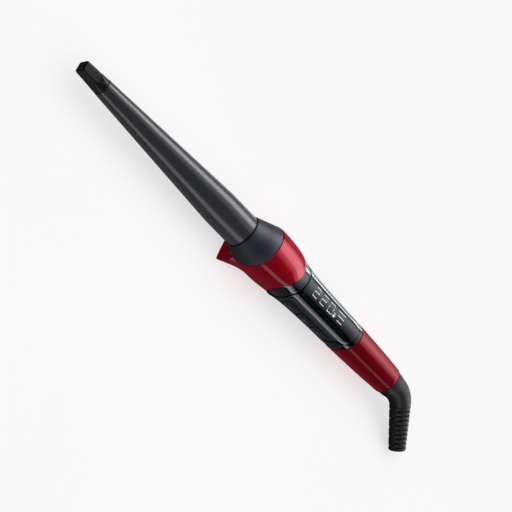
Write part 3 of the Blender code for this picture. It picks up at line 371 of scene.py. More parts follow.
def evenly(start, end, count):
    """count steps from start to end, both included."""
    return [start + (end - start) * i / count for i in range(count + 1)]


def quarter_round(radius, steps=4):
    """(distance in, depth below the surface) along a rounded edge, from the edge inwards."""
    turns = evenly(0, math.pi / 2, steps)
    return [(radius * (1 - math.sin(math.pi / 2 - a)), radius * (1 - math.sin(a))) for a in turns]


# ---- rings


def at_angle(x, radius, angle):
    """The point at a station, at a radius and an angle from the top."""
    return Vector((x, -radius * math.sin(angle), radius * math.cos(angle)))


def circle(x, radius, segments=SEGMENTS):
    turns = [2 * math.pi * i / segments for i in range(segments)]
    return [at_angle(x, radius, a) for a in turns]


def on_surface(joint, angle, outline, inset, raised=False):
    """The point at an angle where a slanted joint cuts a turned outline, moved in by inset."""
    x = joint(0)
    radius = outline(x)
    for _ in range(6):
        x = joint(radius * math.cos(angle))
        radius = outline(x) - inset
        if raised:
            radius += rise(x, math.cos(angle))
    return at_angle(x, radius, angle)


def cut_ring(joint, outline, inset=0.0, raised=False):
    turns = [2 * math.pi * i / SEGMENTS for i in range(SEGMENTS)]
    return [on_surface(joint, angle, outline, inset, raised) for angle in turns]


# ---- pieces


def new_object(name, data):
    made = bpy.data.objects.new(name, data)
    bpy.context.scene.collection.objects.link(made)
    return made


def mesh_object(name, mesh):
    data = bpy.data.meshes.new(name)
    mesh.to_mesh(data)
    mesh.free()
    return new_object(name, data)


def piece(name, mesh, looks, slot, replaced=(), body_name="wand", at=AXIS_START, crease=35, look=""):
    """A shown piece that rides on a body, in place of the named nodes of the frame."""
    bmesh.ops.recalc_face_normals(mesh, faces=mesh.faces)
    made = mesh_object(name, mesh)
    made.data.shade_smooth()
    made.data.set_sharp_from_angle(angle=math.radians(crease))
    made.data.materials.append(looks[look or slot])
    made.location = at
    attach(made, body_name)
    if replaced:
        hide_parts(*replaced)
    return made


def add_rings(mesh, rings, hollow):
    """Adds a body through rings of equal length: a tube wall if hollow, else capped at both ends."""
    rows = [[mesh.verts.new(point) for point in ring] for ring in rings]
    pairs = list(zip(rows, rows[1:]))
    if hollow:
        pairs.append((rows[-1], rows[0]))
    else:
        mesh.faces.new(rows[0])
        mesh.faces.new(rows[-1])
    for first, second in pairs:
        for i in range(len(first)):
            j = (i + 1) % len(first)
            mesh.faces.new((first[i], first[j], second[j], second[i]))
    return mesh


def ringed(rings, hollow=True):
    return add_rings(bmesh.new(), rings, hollow)


def turned(profile, segments=SEGMENTS, hollow=True):
    return ringed([circle(x, radius, segments) for x, radius in profile], hollow)


def grid_solid(mesh, outer, inner):
    """Adds a closed plate between two grids of points of the same size."""
    layers = [[[mesh.verts.new(point) for point in row] for row in grid] for grid in (outer, inner)]
    rows, columns = len(outer), len(outer[0])
    for grid in layers:
        for r in range(rows - 1):
            for c in range(columns - 1):
                mesh.faces.new((grid[r][c], grid[r][c + 1], grid[r + 1][c + 1], grid[r + 1][c]))
    top, bottom = layers
    for c in (0, columns - 1):
        for r in range(rows - 1):
            mesh.faces.new((top[r][c], top[r + 1][c], bottom[r + 1][c], bottom[r][c]))
    for r in (0, rows - 1):
        for c in range(columns - 1):
            mesh.faces.new((top[r][c], top[r][c + 1], bottom[r][c + 1], bottom[r][c]))
    return mesh


def round_steps(arc, corner, rows):
    """Distances across a plate, close together where its corners are rounded."""
    edge = [corner * (1 - math.cos(a)) for a in evenly(0, math.pi / 2, 6)]
    flat_part = [s for s in evenly(corner, arc - corner, rows) if corner < s < arc - corner]
    return edge + flat_part + [arc - s for s in reversed(edge)]


def wrapped(angles, joints, depths, corner, columns=24, rows=16):
    """A plate that follows the handle's surface between two angles and two slanted joints.
    depths are below the surface: inner, then outer. The corners are rounded."""
    low, high = angles
    middle_radius = handle_radius((joints[0](0) + joints[1](0)) / 2)
    arc = (high - low) * middle_radius
    grids = [[], []]
    for step in round_steps(arc, corner, rows):
        angle = low + step / middle_radius
        back = max(corner - min(step, arc - step), 0)
        pull = corner - math.sqrt(max(corner**2 - back**2, 0))
        height = middle_radius * math.cos(angle)
        stations = evenly(joints[0](height) + pull, joints[1](height) - pull, columns)
        for grid, depth in zip(grids, depths):
            grid.append([at_angle(x, handle_radius(x) - depth, angle) for x in stations])
    inner, outer = grids
    return grid_solid(bmesh.new(), outer, inner)


def bevelled(made, width, segments=3, limit=50):
    modifier = made.modifiers.new("soft_edges", "BEVEL")
    modifier.width = width
    modifier.segments = segments
    modifier.limit_method = "ANGLE"
    modifier.angle_limit = math.radians(limit)
    modifier.harden_normals = True
    return made


# ---- materials


class Look:
    """A Principled material and a few ways to add procedural detail to it."""

    def __init__(self, name, colour, roughness, **values):
        self.material = bpy.data.materials.new(name)
        self.material.use_nodes = True
        self.material.diffuse_color = (*colour, 1)
        self.nodes = self.material.node_tree.nodes
        self.links = self.material.node_tree.links
        self.shader = self.nodes["Principled BSDF"]
        self.shader.inputs["Base Color"].default_value = (*colour, 1)
        self.shader.inputs["Roughness"].default_value = roughness
        for key, value in values.items():
            self.shader.inputs[key.replace("_", " ")].default_value = value
        self.place = self.nodes.new("ShaderNodeTexCoord").outputs["Object"]
        self.bump = None

    def node(self, kind, **values):
        made = self.nodes.new(kind)
        for key, value in values.items():
            setattr(made, key, value)
        return made

    def noise(self, scale, detail=3.0, stretch=(1, 1, 1)):
        """A noise value, with the given number of cells per metre."""
        mapping = self.node("ShaderNodeMapping")
        mapping.inputs["Scale"].default_value = stretch
        self.links.new(self.place, mapping.inputs["Vector"])
        made = self.node("ShaderNodeTexNoise")
        made.inputs["Scale"].default_value = scale
        made.inputs["Detail"].default_value = detail
        self.links.new(mapping.outputs["Vector"], made.inputs["Vector"])
        return made.outputs["Fac"]

    def cells(self, scale, output="Distance"):
        """A pattern of cells, with the given number per metre."""
        made = self.node("ShaderNodeTexVoronoi")
        made.inputs["Scale"].default_value = scale
        self.links.new(self.place, made.inputs["Vector"])
        return made.outputs[output]

    def spread(self, value, low, high, source=(0.3, 0.7)):
        """The value's range spread over low to high."""
        made = self.node("ShaderNodeMapRange")
        for socket, number in zip(("From Min", "From Max", "To Min", "To Max"), (*source, low, high)):
            made.inputs[socket].default_value = number
        self.links.new(value, made.inputs["Value"])
        return made.outputs["Result"]

    def roughness(self, value, low, high):
        self.links.new(self.spread(value, low, high), self.shader.inputs["Roughness"])

    def colours(self, value, first, second, source=(0.3, 0.7)):
        mix = self.node("ShaderNodeMix", data_type="RGBA")
        self.links.new(self.spread(value, 0, 1, source), mix.inputs["Factor"])
        for socket in mix.inputs:
            if socket.type == "RGBA":
                socket.default_value = (*(first if socket.name == "A" else second), 1)
        result = [o for o in mix.outputs if o.type == "RGBA"][0]
        self.links.new(result, self.shader.inputs["Base Color"])

    def relief(self, value, height, strength=1.0):
        """Bump of that height, on top of any added before."""
        made = self.node("ShaderNodeBump")
        made.inputs["Distance"].default_value = height
        made.inputs["Strength"].default_value = strength
        self.links.new(value, made.inputs["Height"])
        if self.bump:
            self.links.new(self.bump.outputs["Normal"], made.inputs["Normal"])
        self.links.new(made.outputs["Normal"], self.shader.inputs["Normal"])
        self.bump = made


def lacquer(look):
    """Deep red under a clear coat: tiny flakes that vary in shade and tilt."""
    look.colours(look.cells(5200, "Color"), (0.42, 0.001, 0.022), (0.54, 0.003, 0.030), (0.0, 1.0))
    look.roughness(look.noise(1500, 3), 0.52, 0.58)
    look.relief(look.cells(5200), 0.004 * MM, 0.6)


def knurl(look):
    """Fine grooves across the panel."""
    across = look.node("ShaderNodeTexWave", wave_type="BANDS", bands_direction="X")
    across.inputs["Scale"].default_value = 320
    look.links.new(look.place, across.inputs["Vector"])
    look.relief(across.outputs["Fac"], 0.05 * MM)


def make_looks():
    """The materials of the shown pieces, each with its own fine variation and grain."""
    looks = {}
    for name, (colour, roughness, values, colours, rough, grain) in LOOKS.items():
        look = Look(name, colour, roughness, **values)
        if name == "red_lacquer":
            lacquer(look)
        if name == "panel_plastic":
            knurl(look)
        if colours:
            noise, first, second = colours
            look.colours(look.noise(*noise), first, second)
        if rough:
            noise, low, high = rough
            look.roughness(look.noise(*noise), low, high)
        if grain:
            noise, height = grain
            look.relief(look.noise(*noise), height * MM)
        looks[name] = look.material
    return looks


def plain_inner(name, colour, roughness, metallic=0.0, scale=800):
    """A material for a piece inside the casing, with a little variation."""
    look = Look(name, colour, roughness, Metallic=metallic)
    darker = tuple(c * 0.85 for c in colour)
    look.colours(look.noise(scale, 4), darker, colour)
    look.roughness(look.noise(scale * 0.6, 4), roughness * 0.85, min(roughness * 1.15, 1))
    look.relief(look.noise(scale * 5, 2), 0.005 * MM)
    return look.material


# ---- barrel, tip and collar


def make_barrel(looks):
    lip = 0.35 * MM
    profile = []
    for d, depth in quarter_round(lip):
        profile.append((BARREL_FRONT + d, barrel_radius(BARREL_FRONT + d) - depth))
    profile += [(x, barrel_radius(x)) for x in evenly(BARREL_FRONT + 2 * MM, BARREL_STRAIGHT - 4 * MM, 12)]
    soft = 3 * MM
    for step in evenly(-1, 1, 8):
        bend = BARREL_STRAIGHT + soft * step
        profile.append((bend, barrel_radius(bend) - 0.03 * MM * (1 - step**2)))
    edge = quarter_round(0.2 * MM)
    shoulder = SEAL_FRONT - SEAM
    profile += [(shoulder - d, BARREL_RADIUS - depth) for d, depth in reversed(edge)]
    profile += [
        (shoulder, NECK_RADIUS),
        (NECK_END, NECK_RADIUS),
        (NECK_END, NECK_RADIUS - BARREL_WALL),
        (-GAP - 2 * BARREL_WALL, NECK_RADIUS - BARREL_WALL),
        (-GAP - 3 * BARREL_WALL, BARREL_RADIUS - BARREL_WALL),
        (BARREL_STRAIGHT, BARREL_RADIUS - BARREL_WALL),
        (BARREL_FRONT, BARREL_FRONT_RADIUS - BARREL_WALL),
    ]
    piece("barrel_tube", turned(profile), looks, "ceramic_coat", ["barrel"])


def tip_ring(x, radius, flat_distance):
    """A round section with four flats, joined by slightly rounded corners."""
    sharpness = 34
    points = []
    for i in range(SEGMENTS):
        angle = 2 * math.pi * i / SEGMENTS
        widest = max(abs(math.sin(angle)), abs(math.cos(angle)))
        reach = (radius**-sharpness + (flat_distance / widest) ** -sharpness) ** (-1 / sharpness)
        points.append(at_angle(x, reach, angle))
    return points


def make_tip(looks):
    """The tip: a round base that runs into four tapering flats, and a dished end."""
    base = BARREL_FRONT - GAP
    end_round = 2.2 * MM
    length = base - (TIP_END + end_round)
    spigot, spigot_length = 2.5 * MM, 9 * MM
    no_flats = 9 * MM
    slimmed, flats_slimmed = 0.9 * MM, 0.75 * MM
    rings = [tip_ring(base + spigot_length, spigot, no_flats), tip_ring(base, spigot, no_flats)]
    rings += [tip_ring(base - d, TIP_RADIUS - depth, no_flats) for d, depth in quarter_round(0.3 * MM)]
    for t in evenly(0.04, 1, 30):
        flats = fade(t, 0.08, 0.42)
        flat_distance = TIP_RADIUS - (TIP_RADIUS - TIP_FLAT) * flats - flats_slimmed * t
        flat_distance += 0.3 * MM * (1 - flats)
        rings.append(tip_ring(base - length * t, TIP_RADIUS - slimmed * t, flat_distance))
    front, front_flat = TIP_RADIUS - slimmed, TIP_FLAT - flats_slimmed
    end = list(reversed(quarter_round(end_round, 8)))[1:]
    rings += [tip_ring(TIP_END + d, front - depth, front_flat - depth) for d, depth in end]
    for inwards, depth, flat_depth in TIP_DISH:
        rings.append(tip_ring(TIP_END + inwards, front - depth, front_flat - flat_depth))
    mesh = ringed(rings, hollow=False)
    piece("tip_cap", mesh, looks, "tip_plastic", ["cool_tip"], crease=60)


def make_seal(looks):
    bore, outer = NECK_RADIUS + GAP, 12.85 * MM
    edge = quarter_round(0.2 * MM)
    profile = [(SEAL_FRONT, bore)]
    profile += [(SEAL_FRONT + d, outer - depth) for d, depth in edge]
    profile += [(SEAL_END - d, outer - depth) for d, depth in reversed(edge)]
    profile += [(SEAL_END, bore)]
    piece("seal_ring", turned(profile), looks, "seal_rubber", ["barrel_seal"])


def make_collar(looks):
    mouth = shifted(BELL_MOUTH, -SEAM)
    front = flat(COLLAR_FRONT)
    tenon_end = flat(23 * MM)
    tenon, inner = 1.7 * MM, 3.4 * MM
    bore = NECK_RADIUS + GAP
    soft = 0.35 * MM

    def inside(x):
        return max(collar_radius(x) - inner, bore)

    places = [(shifted(front, d), depth) for d, depth in quarter_round(soft)]
    places += [(between(shifted(front, 2 * soft), shifted(mouth, -soft), t), 0) for t in evenly(0, 1, 20)]
    places += [(shifted(mouth, -d), depth) for d, depth in reversed(quarter_round(0.12 * MM))]
    rings = [cut_ring(joint, collar_radius, depth, True) for joint, depth in places]
    rings += [cut_ring(between(mouth, tenon_end, t), collar_radius, tenon) for t in (0, 0.5, 1)]
    rings += [cut_ring(flat(x * MM), inside) for x in (23, 18, 14, 8, 5.3)]
    rings += [cut_ring(front, inside)]
    piece("collar_cone", ringed(rings), looks, "collar_plastic", ["collar"])


# ---- bell


def foot_reach(x, angle):
    """The bell's radius at a station and an angle from straight down, out to the foot's outline,
    and the angle of the foot's corner."""
    radius = bell_radius(x) + rise(x, -math.cos(angle))
    shrink = min(max((x - FOOT_FRONT_END) / (FOOT_FLAT_END - FOOT_FRONT_END), 0), 1.6)
    half_width = (FOOT_WIDTH + (FOOT_REAR_WIDTH - FOOT_WIDTH) * shrink) / 2
    corner = math.atan2(half_width, AXIS_HEIGHT)
    corner_reach = math.hypot(half_width, AXIS_HEIGHT)
    tangent = corner + math.acos(min(radius / corner_reach, 1))
    angle = abs(angle)
    sharpness = 50
    flat_reach = AXIS_HEIGHT / math.cos(min(angle, 1.3))
    flank_reach = radius / max(math.cos(tangent - angle), 0.3)
    reach = (flat_reach**-sharpness + flank_reach**-sharpness) ** (-1 / sharpness)
    if angle > tangent:
        reach = radius
    shape = 1 - fade(x, FOOT_FLAT_END, FOOT_FADE_END)
    return radius + (max(reach, radius) - radius) * shape, corner


def bell_ring(joint, outline, inset=0.0, sweep=0.0):
    """A ring of the bell or of its bore, with points close together at the foot's corners."""
    corner = foot_reach(joint(-AXIS_HEIGHT) + sweep, 0)[1]
    half = evenly(0, corner - 0.1, 14)[:-1]
    half += evenly(corner - 0.1, corner + 0.1, 12)[:-1]
    half += evenly(corner + 0.1, math.radians(90), 16)[:-1]
    half += evenly(math.radians(90), math.pi, 48)
    angles = half + [-a for a in reversed(half[1:-1])]
    points = []
    for angle in angles:
        x = joint(0)
        y = z = 0.0
        for _ in range(10):
            reach = outline(x, angle) - inset
            y, z = -reach * math.sin(angle), -reach * math.cos(angle)
            low = fade(-z, 11 * MM, AXIS_HEIGHT)
            x = joint(z) + sweep * low * (2 * y / FOOT_WIDTH) ** 2
        points.append(Vector((x, y, z)))
    return points


def make_bell(looks):
    def outside(x, angle):
        return foot_reach(x, angle)[0]

    def along_handle(x, _):
        return handle_radius(x)

    def along_collar(x, _):
        return collar_radius(x)

    mouth = shifted(BELL_MOUTH, SEAM)
    seat = flat(23.3 * MM)
    tenon_room = 1.4 * MM
    lip, rear_lip = 0.3 * MM, 0.35 * MM
    rings = [bell_ring(shifted(mouth, d), outside, depth, FOOT_SWEEP) for d, depth in quarter_round(lip)]
    for t in evenly(0.02, 0.98, 36):
        rings.append(bell_ring(between(mouth, BELL_REAR, t), outside, 0, FOOT_SWEEP * (1 - t)))
    for d, depth in reversed(quarter_round(rear_lip)):
        rings.append(bell_ring(shifted(BELL_REAR, -d), outside, depth))
    for joint in (BELL_REAR, between(seat, BELL_REAR, 0.5), seat):
        rings.append(bell_ring(joint, along_handle, SKIN))
    for joint in (seat, between(mouth, seat, 0.5), mouth):
        rings.append(bell_ring(joint, along_collar, tenon_room))
    piece("bell", ringed(rings), looks, "red_lacquer", ["front_bell"])


# ---- grip


def make_trim_rings(looks):
    front = (shifted(BELL_REAR, GAP), shifted(FRONT_GROOVE, -HALF_GROOVE))
    trim_ring("front_trim", *front, 0.35 * MM, True, looks)
    rear = (shifted(REAR_GROOVE, HALF_GROOVE), shifted(SLEEVE_FRONT, -GAP))
    trim_ring("rear_trim", *rear, 0.15 * MM, False, looks)


def trim_ring(name, front, rear, inset, raised, looks):
    edge = quarter_round(0.3 * MM)
    places = [(shifted(front, d), inset + depth) for d, depth in edge]
    places += [(between(front, rear, t), inset) for t in evenly(0.15, 0.85, 6)]
    places += [(shifted(rear, -d), inset + depth) for d, depth in reversed(edge)]
    rings = [cut_ring(front, handle_radius, SKIN)]
    rings += [cut_ring(joint, handle_radius, depth, raised) for joint, depth in places]
    rings += [cut_ring(rear, handle_radius, SKIN)]
    piece(name, ringed(rings), looks, "gloss_black", [f"{name}_ring"])


def pocket_depth(x, angle, middle, half_angle, joints, corner, depth):
    """How far a rounded pocket sinks the surface at a station and angle, with a soft upper edge."""
    radius = handle_radius(x)
    height = radius * math.cos(angle)
    first = joints[0](height)
    last = joints[1](height)
    turn = (angle - middle + math.pi) % (2 * math.pi) - math.pi
    middle_radius = handle_radius((joints[0](0) + joints[1](0)) / 2)
    along = abs(x - (first + last) / 2) - (last - first) / 2 + corner
    round_way = abs(turn) * middle_radius - half_angle * middle_radius + corner
    outside = math.hypot(max(along, 0), max(round_way, 0)) + min(max(along, round_way), 0) - corner
    soft, wall = 0.12 * MM, 0.1 * MM
    if outside > soft:
        return 0.0
    if outside > 0:
        back = (soft - outside) / soft
        return soft * (1 - math.sqrt(max(1 - back**2, 0)))
    return soft + (depth - soft) * min(-outside / wall, 1)


def shell_columns():
    """The stations of the grip's points as (joint, inset), close together at its joints and pockets."""
    start, end = shifted(FRONT_GROOVE, HALF_GROOVE), shifted(REAR_GROOVE, -HALF_GROOVE)
    front, edge = flat(SHELL_FRONT), quarter_round(HALF_GROOVE)
    close = [d * MM for d in (-0.2, -0.1, -0.05, 0, 0.04, 0.08, 0.12, 0.3)]
    columns = [(front, SPIGOT_INSET), (between(front, start, 0.5), SPIGOT_INSET), (start, SPIGOT_INSET)]
    columns += [(shifted(start, d), depth) for d, depth in edge]
    for joint in (PANEL_FRONT, WINDOW_FRONT):
        columns += [(shifted(joint, -d), 0) for d in reversed(close)]
    columns += [(between(WINDOW_FRONT, WINDOW_REAR, t), 0) for t in evenly(0.03, 0.97, 60)]
    columns += [(shifted(WINDOW_REAR, d), 0) for d in close]
    columns += [(between(WINDOW_REAR, PANEL_REAR, t), 0) for t in (0.4, 0.7)]
    columns += [(shifted(PANEL_REAR, d), 0) for d in close]
    columns += [(shifted(end, -d), depth) for d, depth in reversed(edge)]
    return columns + [(joint, SPIGOT_INSET) for joint in (end, flat(SPIGOT_MIDDLE), flat(SHELL_END))]


def shell_angles():
    """The angles of the upper shell's points and of the lower's, close together at the pockets."""
    radius = handle_radius(GRIP_MIDDLE)
    close = [d * MM / radius for d in (-0.3, -0.12, -0.08, -0.04, 0, 0.05, 0.1, 0.2)]
    quarter, part = math.pi / 2, SEAM / radius
    upper_edges, lower_edges = (WINDOW_ANGLE, PANEL_ANGLES[0]), (PANEL_ANGLES[1],)
    upper = {edge + sign * c for edge in upper_edges for c in close for sign in (1, -1)}
    lower = {edge + sign * c for edge in lower_edges for c in close for sign in (1, -1)}
    upper |= set(evenly(0, quarter - part, 44))
    lower |= set(evenly(quarter + part, math.pi, 40))
    return sorted(upper | {-a for a in upper}), sorted(lower | {2 * math.pi - a for a in lower})


def shell_grids(angles, columns, pockets):
    """The outer and the inner points of a shell."""
    inner_wall = SPIGOT_INSET + SHELL_WALL
    outer, inner = [], []
    for angle in angles:
        outer_row, inner_row = [], []
        for joint, inset in columns:
            x = on_surface(joint, angle, handle_radius, inset).x
            sunk = 0.0
            if inset < SPIGOT_INSET:
                sunk = max(pocket_depth(x, angle, *pocket) for pocket in pockets)
            wall = inner_wall if inset == SPIGOT_INSET else GRIP_WALL
            outer_row.append(at_angle(x, handle_radius(x) - max(inset, sunk), angle))
            inner_row.append(at_angle(x, handle_radius(x) - wall, angle))
        outer.append(outer_row)
        inner.append(inner_row)
    return outer, inner


def make_shells(looks):
    """Both halves of the grip, with pockets for the side panels and the display window."""
    quarter, panel_half = math.pi / 2, (PANEL_ANGLES[1] - PANEL_ANGLES[0]) / 2
    panel = (panel_half, (PANEL_FRONT, PANEL_REAR), PANEL_CORNER, PANEL_DEPTH)
    window = (WINDOW_ANGLE, (WINDOW_FRONT, WINDOW_REAR), PANEL_CORNER, WINDOW_THICKNESS + GAP)
    pockets = [(quarter, *panel), (-quarter, *panel), (0, *window)]
    columns = shell_columns()
    for half, angles in zip(("upper", "lower"), shell_angles()):
        mesh = grid_solid(bmesh.new(), *shell_grids(angles, columns, pockets))
        node = f"handle_{half}_shell"
        piece(f"{half}_grip", mesh, looks, "gloss_black", [node], crease=40)


def make_window(looks):
    angle = WINDOW_ANGLE - GAP / handle_radius(GRIP_MIDDLE)
    joints = (shifted(WINDOW_FRONT, GAP), shifted(WINDOW_REAR, -GAP))
    mesh = wrapped((-angle, angle), joints, (WINDOW_THICKNESS, 0), PANEL_CORNER - GAP, 60, 30)
    made = piece("window_pane", mesh, looks, "window_acrylic", ["display_window"])
    bevelled(made, 0.25 * MM)


def key_plate(x, room, depths):
    """A plate of a key's outline, grown by some room all round."""
    reach = KEY_LENGTH / 2 + room
    angle = KEY_ANGLE + room / handle_radius(x)
    angles = (math.pi / 2 - angle, math.pi / 2 + angle)
    return wrapped(angles, (flat(x - reach), flat(x + reach)), depths, KEY_CORNER + room, 16, 12)


def cut_opening(panel, name, x):
    mesh = key_plate(x, 0.35 * MM, (3 * MM, -1 * MM))
    bmesh.ops.recalc_face_normals(mesh, faces=mesh.faces)
    cutter = mesh_object(f"{name}_opening", mesh)
    cutter.location = AXIS_START
    modifier = panel.modifiers.new(name, "BOOLEAN")
    modifier.object = cutter
    bake(panel)
    bpy.data.objects.remove(cutter)


def make_panels(looks):
    """The sunk side panels. The near one has an opening for each key."""
    spare = GAP / handle_radius(GRIP_MIDDLE)
    low, high = PANEL_ANGLES[0] + spare, PANEL_ANGLES[1] - spare
    joints = (shifted(PANEL_FRONT, GAP), shifted(PANEL_REAR, -GAP))
    depths = (PANEL_DEPTH - GAP, PANEL_SUNK)
    made = {}
    for side, angles in (("near", (low, high)), ("far", (-high, -low))):
        mesh = wrapped(angles, joints, depths, PANEL_CORNER - GAP, 70, 22)
        node = f"side_panel_{side}"
        made[side] = piece(f"{side}_panel", mesh, looks, "panel_plastic", [node])
    for name, x in KEYS.items():
        cut_opening(made["near"], name, x)
    for panel in made.values():
        bevelled(panel, 0.12 * MM)


def bake(made):
    """Applies a piece's modifiers to its mesh."""
    bpy.context.view_layer.update()
    graph = bpy.context.evaluated_depsgraph_get()
    data = bpy.data.meshes.new_from_object(made.evaluated_get(graph))
    made.modifiers.clear()
    made.data = data


def make_keys(looks):
    """The key caps, each with the stem that reaches in to its switch."""
    stem_radius = 1.2 * MM
    for name, x in KEYS.items():
        mesh = key_plate(x, 0.0, (KEY_HEIGHT, 0))
        rings = []
        for y in (1.0 * MM - handle_radius(x), STEM_END):
            turns = [2 * math.pi * i / 24 for i in range(24)]
            around = [(stem_radius * math.cos(a), stem_radius * math.sin(a)) for a in turns]
            rings.append([Vector((x + dx, y, z)) for dx, z in around])
        add_rings(mesh, rings, hollow=False)
        node, body = f"{name}_button", f"{name}_key"
        made = piece(f"{name}_key_cap", mesh, looks, "key_plastic", [node], body)
        bevelled(made, 0.4 * MM)


# ---- marks


def bar(mesh, first, second, width, angle_of, lift=0.02 * MM, thickness=0.05 * MM):
    """Adds a thin rounded bar between two points of the surface, as (station, distance round it)."""
    start, end = Vector(first), Vector(second)
    along = (end - start).normalized()
    across = Vector((-along.y, along.x))
    half = width / 2
    outline = []
    steps = evenly(0, 1, 10)[1:-1]
    for centre, other, turn in ((end, start, 0.0), (start, end, math.pi)):
        for a in evenly(-math.pi / 2, math.pi / 2, 6):
            ahead = along * half * math.cos(a + turn)
            outline.append(centre + ahead + across * half * math.sin(a + turn))
        side = across * half * math.cos(turn)
        outline += [centre + (other - centre) * t + side for t in steps]
    layers = []
    for height in (lift, lift - thickness):
        ring = []
        for x, round_way in outline:
            ring.append(at_angle(x, handle_radius(x) + height, angle_of(x, round_way)))
        layers.append(ring)
    add_rings(mesh, layers, hollow=False)


def display_angle(x, round_way):
    """The angle of a mark on the display, at a distance from the middle towards the far side."""
    return -round_way / handle_radius(x)


def add_digit(mesh, left, digit):
    short = 0.25 * MM
    for segment in DIGIT_SEGMENTS[digit]:
        ends = []
        for u, v in SEGMENT_ENDS[segment]:
            x = left + DIGIT_WIDTH * u + DIGIT_LEAN * v
            ends.append(Vector((x, DIGITS_BASE + DIGIT_HEIGHT * v)))
        along = (ends[1] - ends[0]).normalized() * short
        bar(mesh, ends[0] + along, ends[1] - along, STROKE, display_angle)


def add_lock(mesh):
    """A filled padlock: three thick bars for its body and three thin ones for its shackle."""
    half, body, shackle = 0.7 * MM, 0.72 * MM, 0.3 * MM
    x = LOCK_MIDDLE
    low, high, neck, top = (DIGITS_BASE + d * MM for d in (0.3, 1.4, 2.2, 2.9))
    for dx in (-half, 0, half):
        bar(mesh, (x + dx, low), (x + dx, high), body, display_angle)
    bar(mesh, (x - half, neck), (x - half, top), shackle, display_angle)
    bar(mesh, (x - half, top), (x + half, top), shackle, display_angle)
    bar(mesh, (x + half, neck), (x + half, top), shackle, display_angle)


def make_display_marks(looks):
    """Three digits, a padlock and three level bars, lit behind the window."""
    mesh = bmesh.new()
    for place, digit in enumerate("220"):
        add_digit(mesh, DIGITS_START + place * DIGIT_PITCH, digit)
    add_lock(mesh)
    for length, v in LEVELS:
        height = DIGITS_BASE + DIGIT_HEIGHT * v
        bar(mesh, (LEVELS_END - length, height), (LEVELS_END, height), STROKE, display_angle)
    piece("display_marks", mesh, looks, "display_white", look="lit_white")


def key_angle_of(x, round_way):
    return math.pi / 2 - round_way / handle_radius(x)


def make_key_marks(looks):
    """A generic mark on each key: minus, power and plus."""
    half, stroke = 1.3 * MM, 0.35 * MM
    marks = {name: bmesh.new() for name in KEYS}
    for name in ("minus", "plus"):
        bar(marks[name], (KEYS[name] - half, 0), (KEYS[name] + half, 0), stroke, key_angle_of)
    x = KEYS["plus"]
    bar(marks["plus"], (x, 0.3 * MM), (x, half), stroke, key_angle_of)
    bar(marks["plus"], (x, -half), (x, -0.3 * MM), stroke, key_angle_of)
    x = KEYS["power"]
    bar(marks["power"], (x, 0.2 * MM), (x, half), stroke, key_angle_of)
    turns = evenly(math.radians(125), math.radians(415), 12)
    ring = [(x + 1.1 * MM * math.cos(a), 1.1 * MM * math.sin(a) - 0.1 * MM) for a in turns]
    for first, second in zip(ring, ring[1:]):
        bar(marks["power"], first, second, stroke * 0.9, key_angle_of)
    for name, mesh in marks.items():
        piece(f"{name}_mark", mesh, looks, "display_white", (), f"{name}_key", look="key_print")


# ---- sleeve and tail


def make_sleeve(looks):
    hole = 5.2 * MM
    end_wall = SHELL_END + GAP
    lip, end_round = 0.3 * MM, 1.0 * MM
    rings = [cut_ring(shifted(SLEEVE_FRONT, d), handle_radius, depth) for d, depth in quarter_round(lip)]
    stop = flat(SLEEVE_END - 1.5 * MM)
    start = shifted(SLEEVE_FRONT, 2 * lip)
    rings += [cut_ring(between(start, stop, t), handle_radius) for t in evenly(0, 1, 24)]
    for d, depth in reversed(quarter_round(end_round)):
        rings.append(cut_ring(flat(SLEEVE_END - d), handle_radius, depth))
    rings += [circle(SLEEVE_END, hole), circle(end_wall, hole)]
    for joint in (flat(end_wall), flat(SPIGOT_MIDDLE), SLEEVE_FRONT):
        rings.append(cut_ring(joint, handle_radius, SKIN))
    piece("sleeve", ringed(rings), looks, "red_lacquer", ["rear_sleeve"])


def tail_ring(along, radius, segments=96):
    """A ring square to the tail's route: straight, bent towards TAIL_SIDE, then straight again.
    radius is a number, or a function of the angle round the tail."""
    ahead = Vector((1, 0, 0))
    bend = min(max(along - ELBOW_STRAIGHT, 0) / ELBOW_BEND_RADIUS, ELBOW_BEND)
    past = max(along - ELBOW_STRAIGHT - ELBOW_BEND_RADIUS * ELBOW_BEND, 0)
    middle = ahead * min(along, ELBOW_STRAIGHT)
    middle = middle + ahead * ELBOW_BEND_RADIUS * math.sin(bend)
    middle = middle + TAIL_SIDE * ELBOW_BEND_RADIUS * (1 - math.cos(bend))
    direction = ahead * math.cos(bend) + TAIL_SIDE * math.sin(bend)
    middle = middle + direction * past
    across = TAIL_SIDE * math.cos(bend) - ahead * math.sin(bend)
    other = ahead.cross(TAIL_SIDE)
    points = []
    for i in range(segments):
        a = 2 * math.pi * i / segments
        reach = radius(a) if callable(radius) else radius
        points.append(middle + across * reach * math.cos(a) + other * reach * math.sin(a))
    return points


def tail_piece(name, rings, looks, node):
    at = AXIS_START + Vector((ELBOW_FRONT, 0, 0))
    piece(name, ringed(rings), looks, "tail_rubber", [node], "cord_swivel", at)


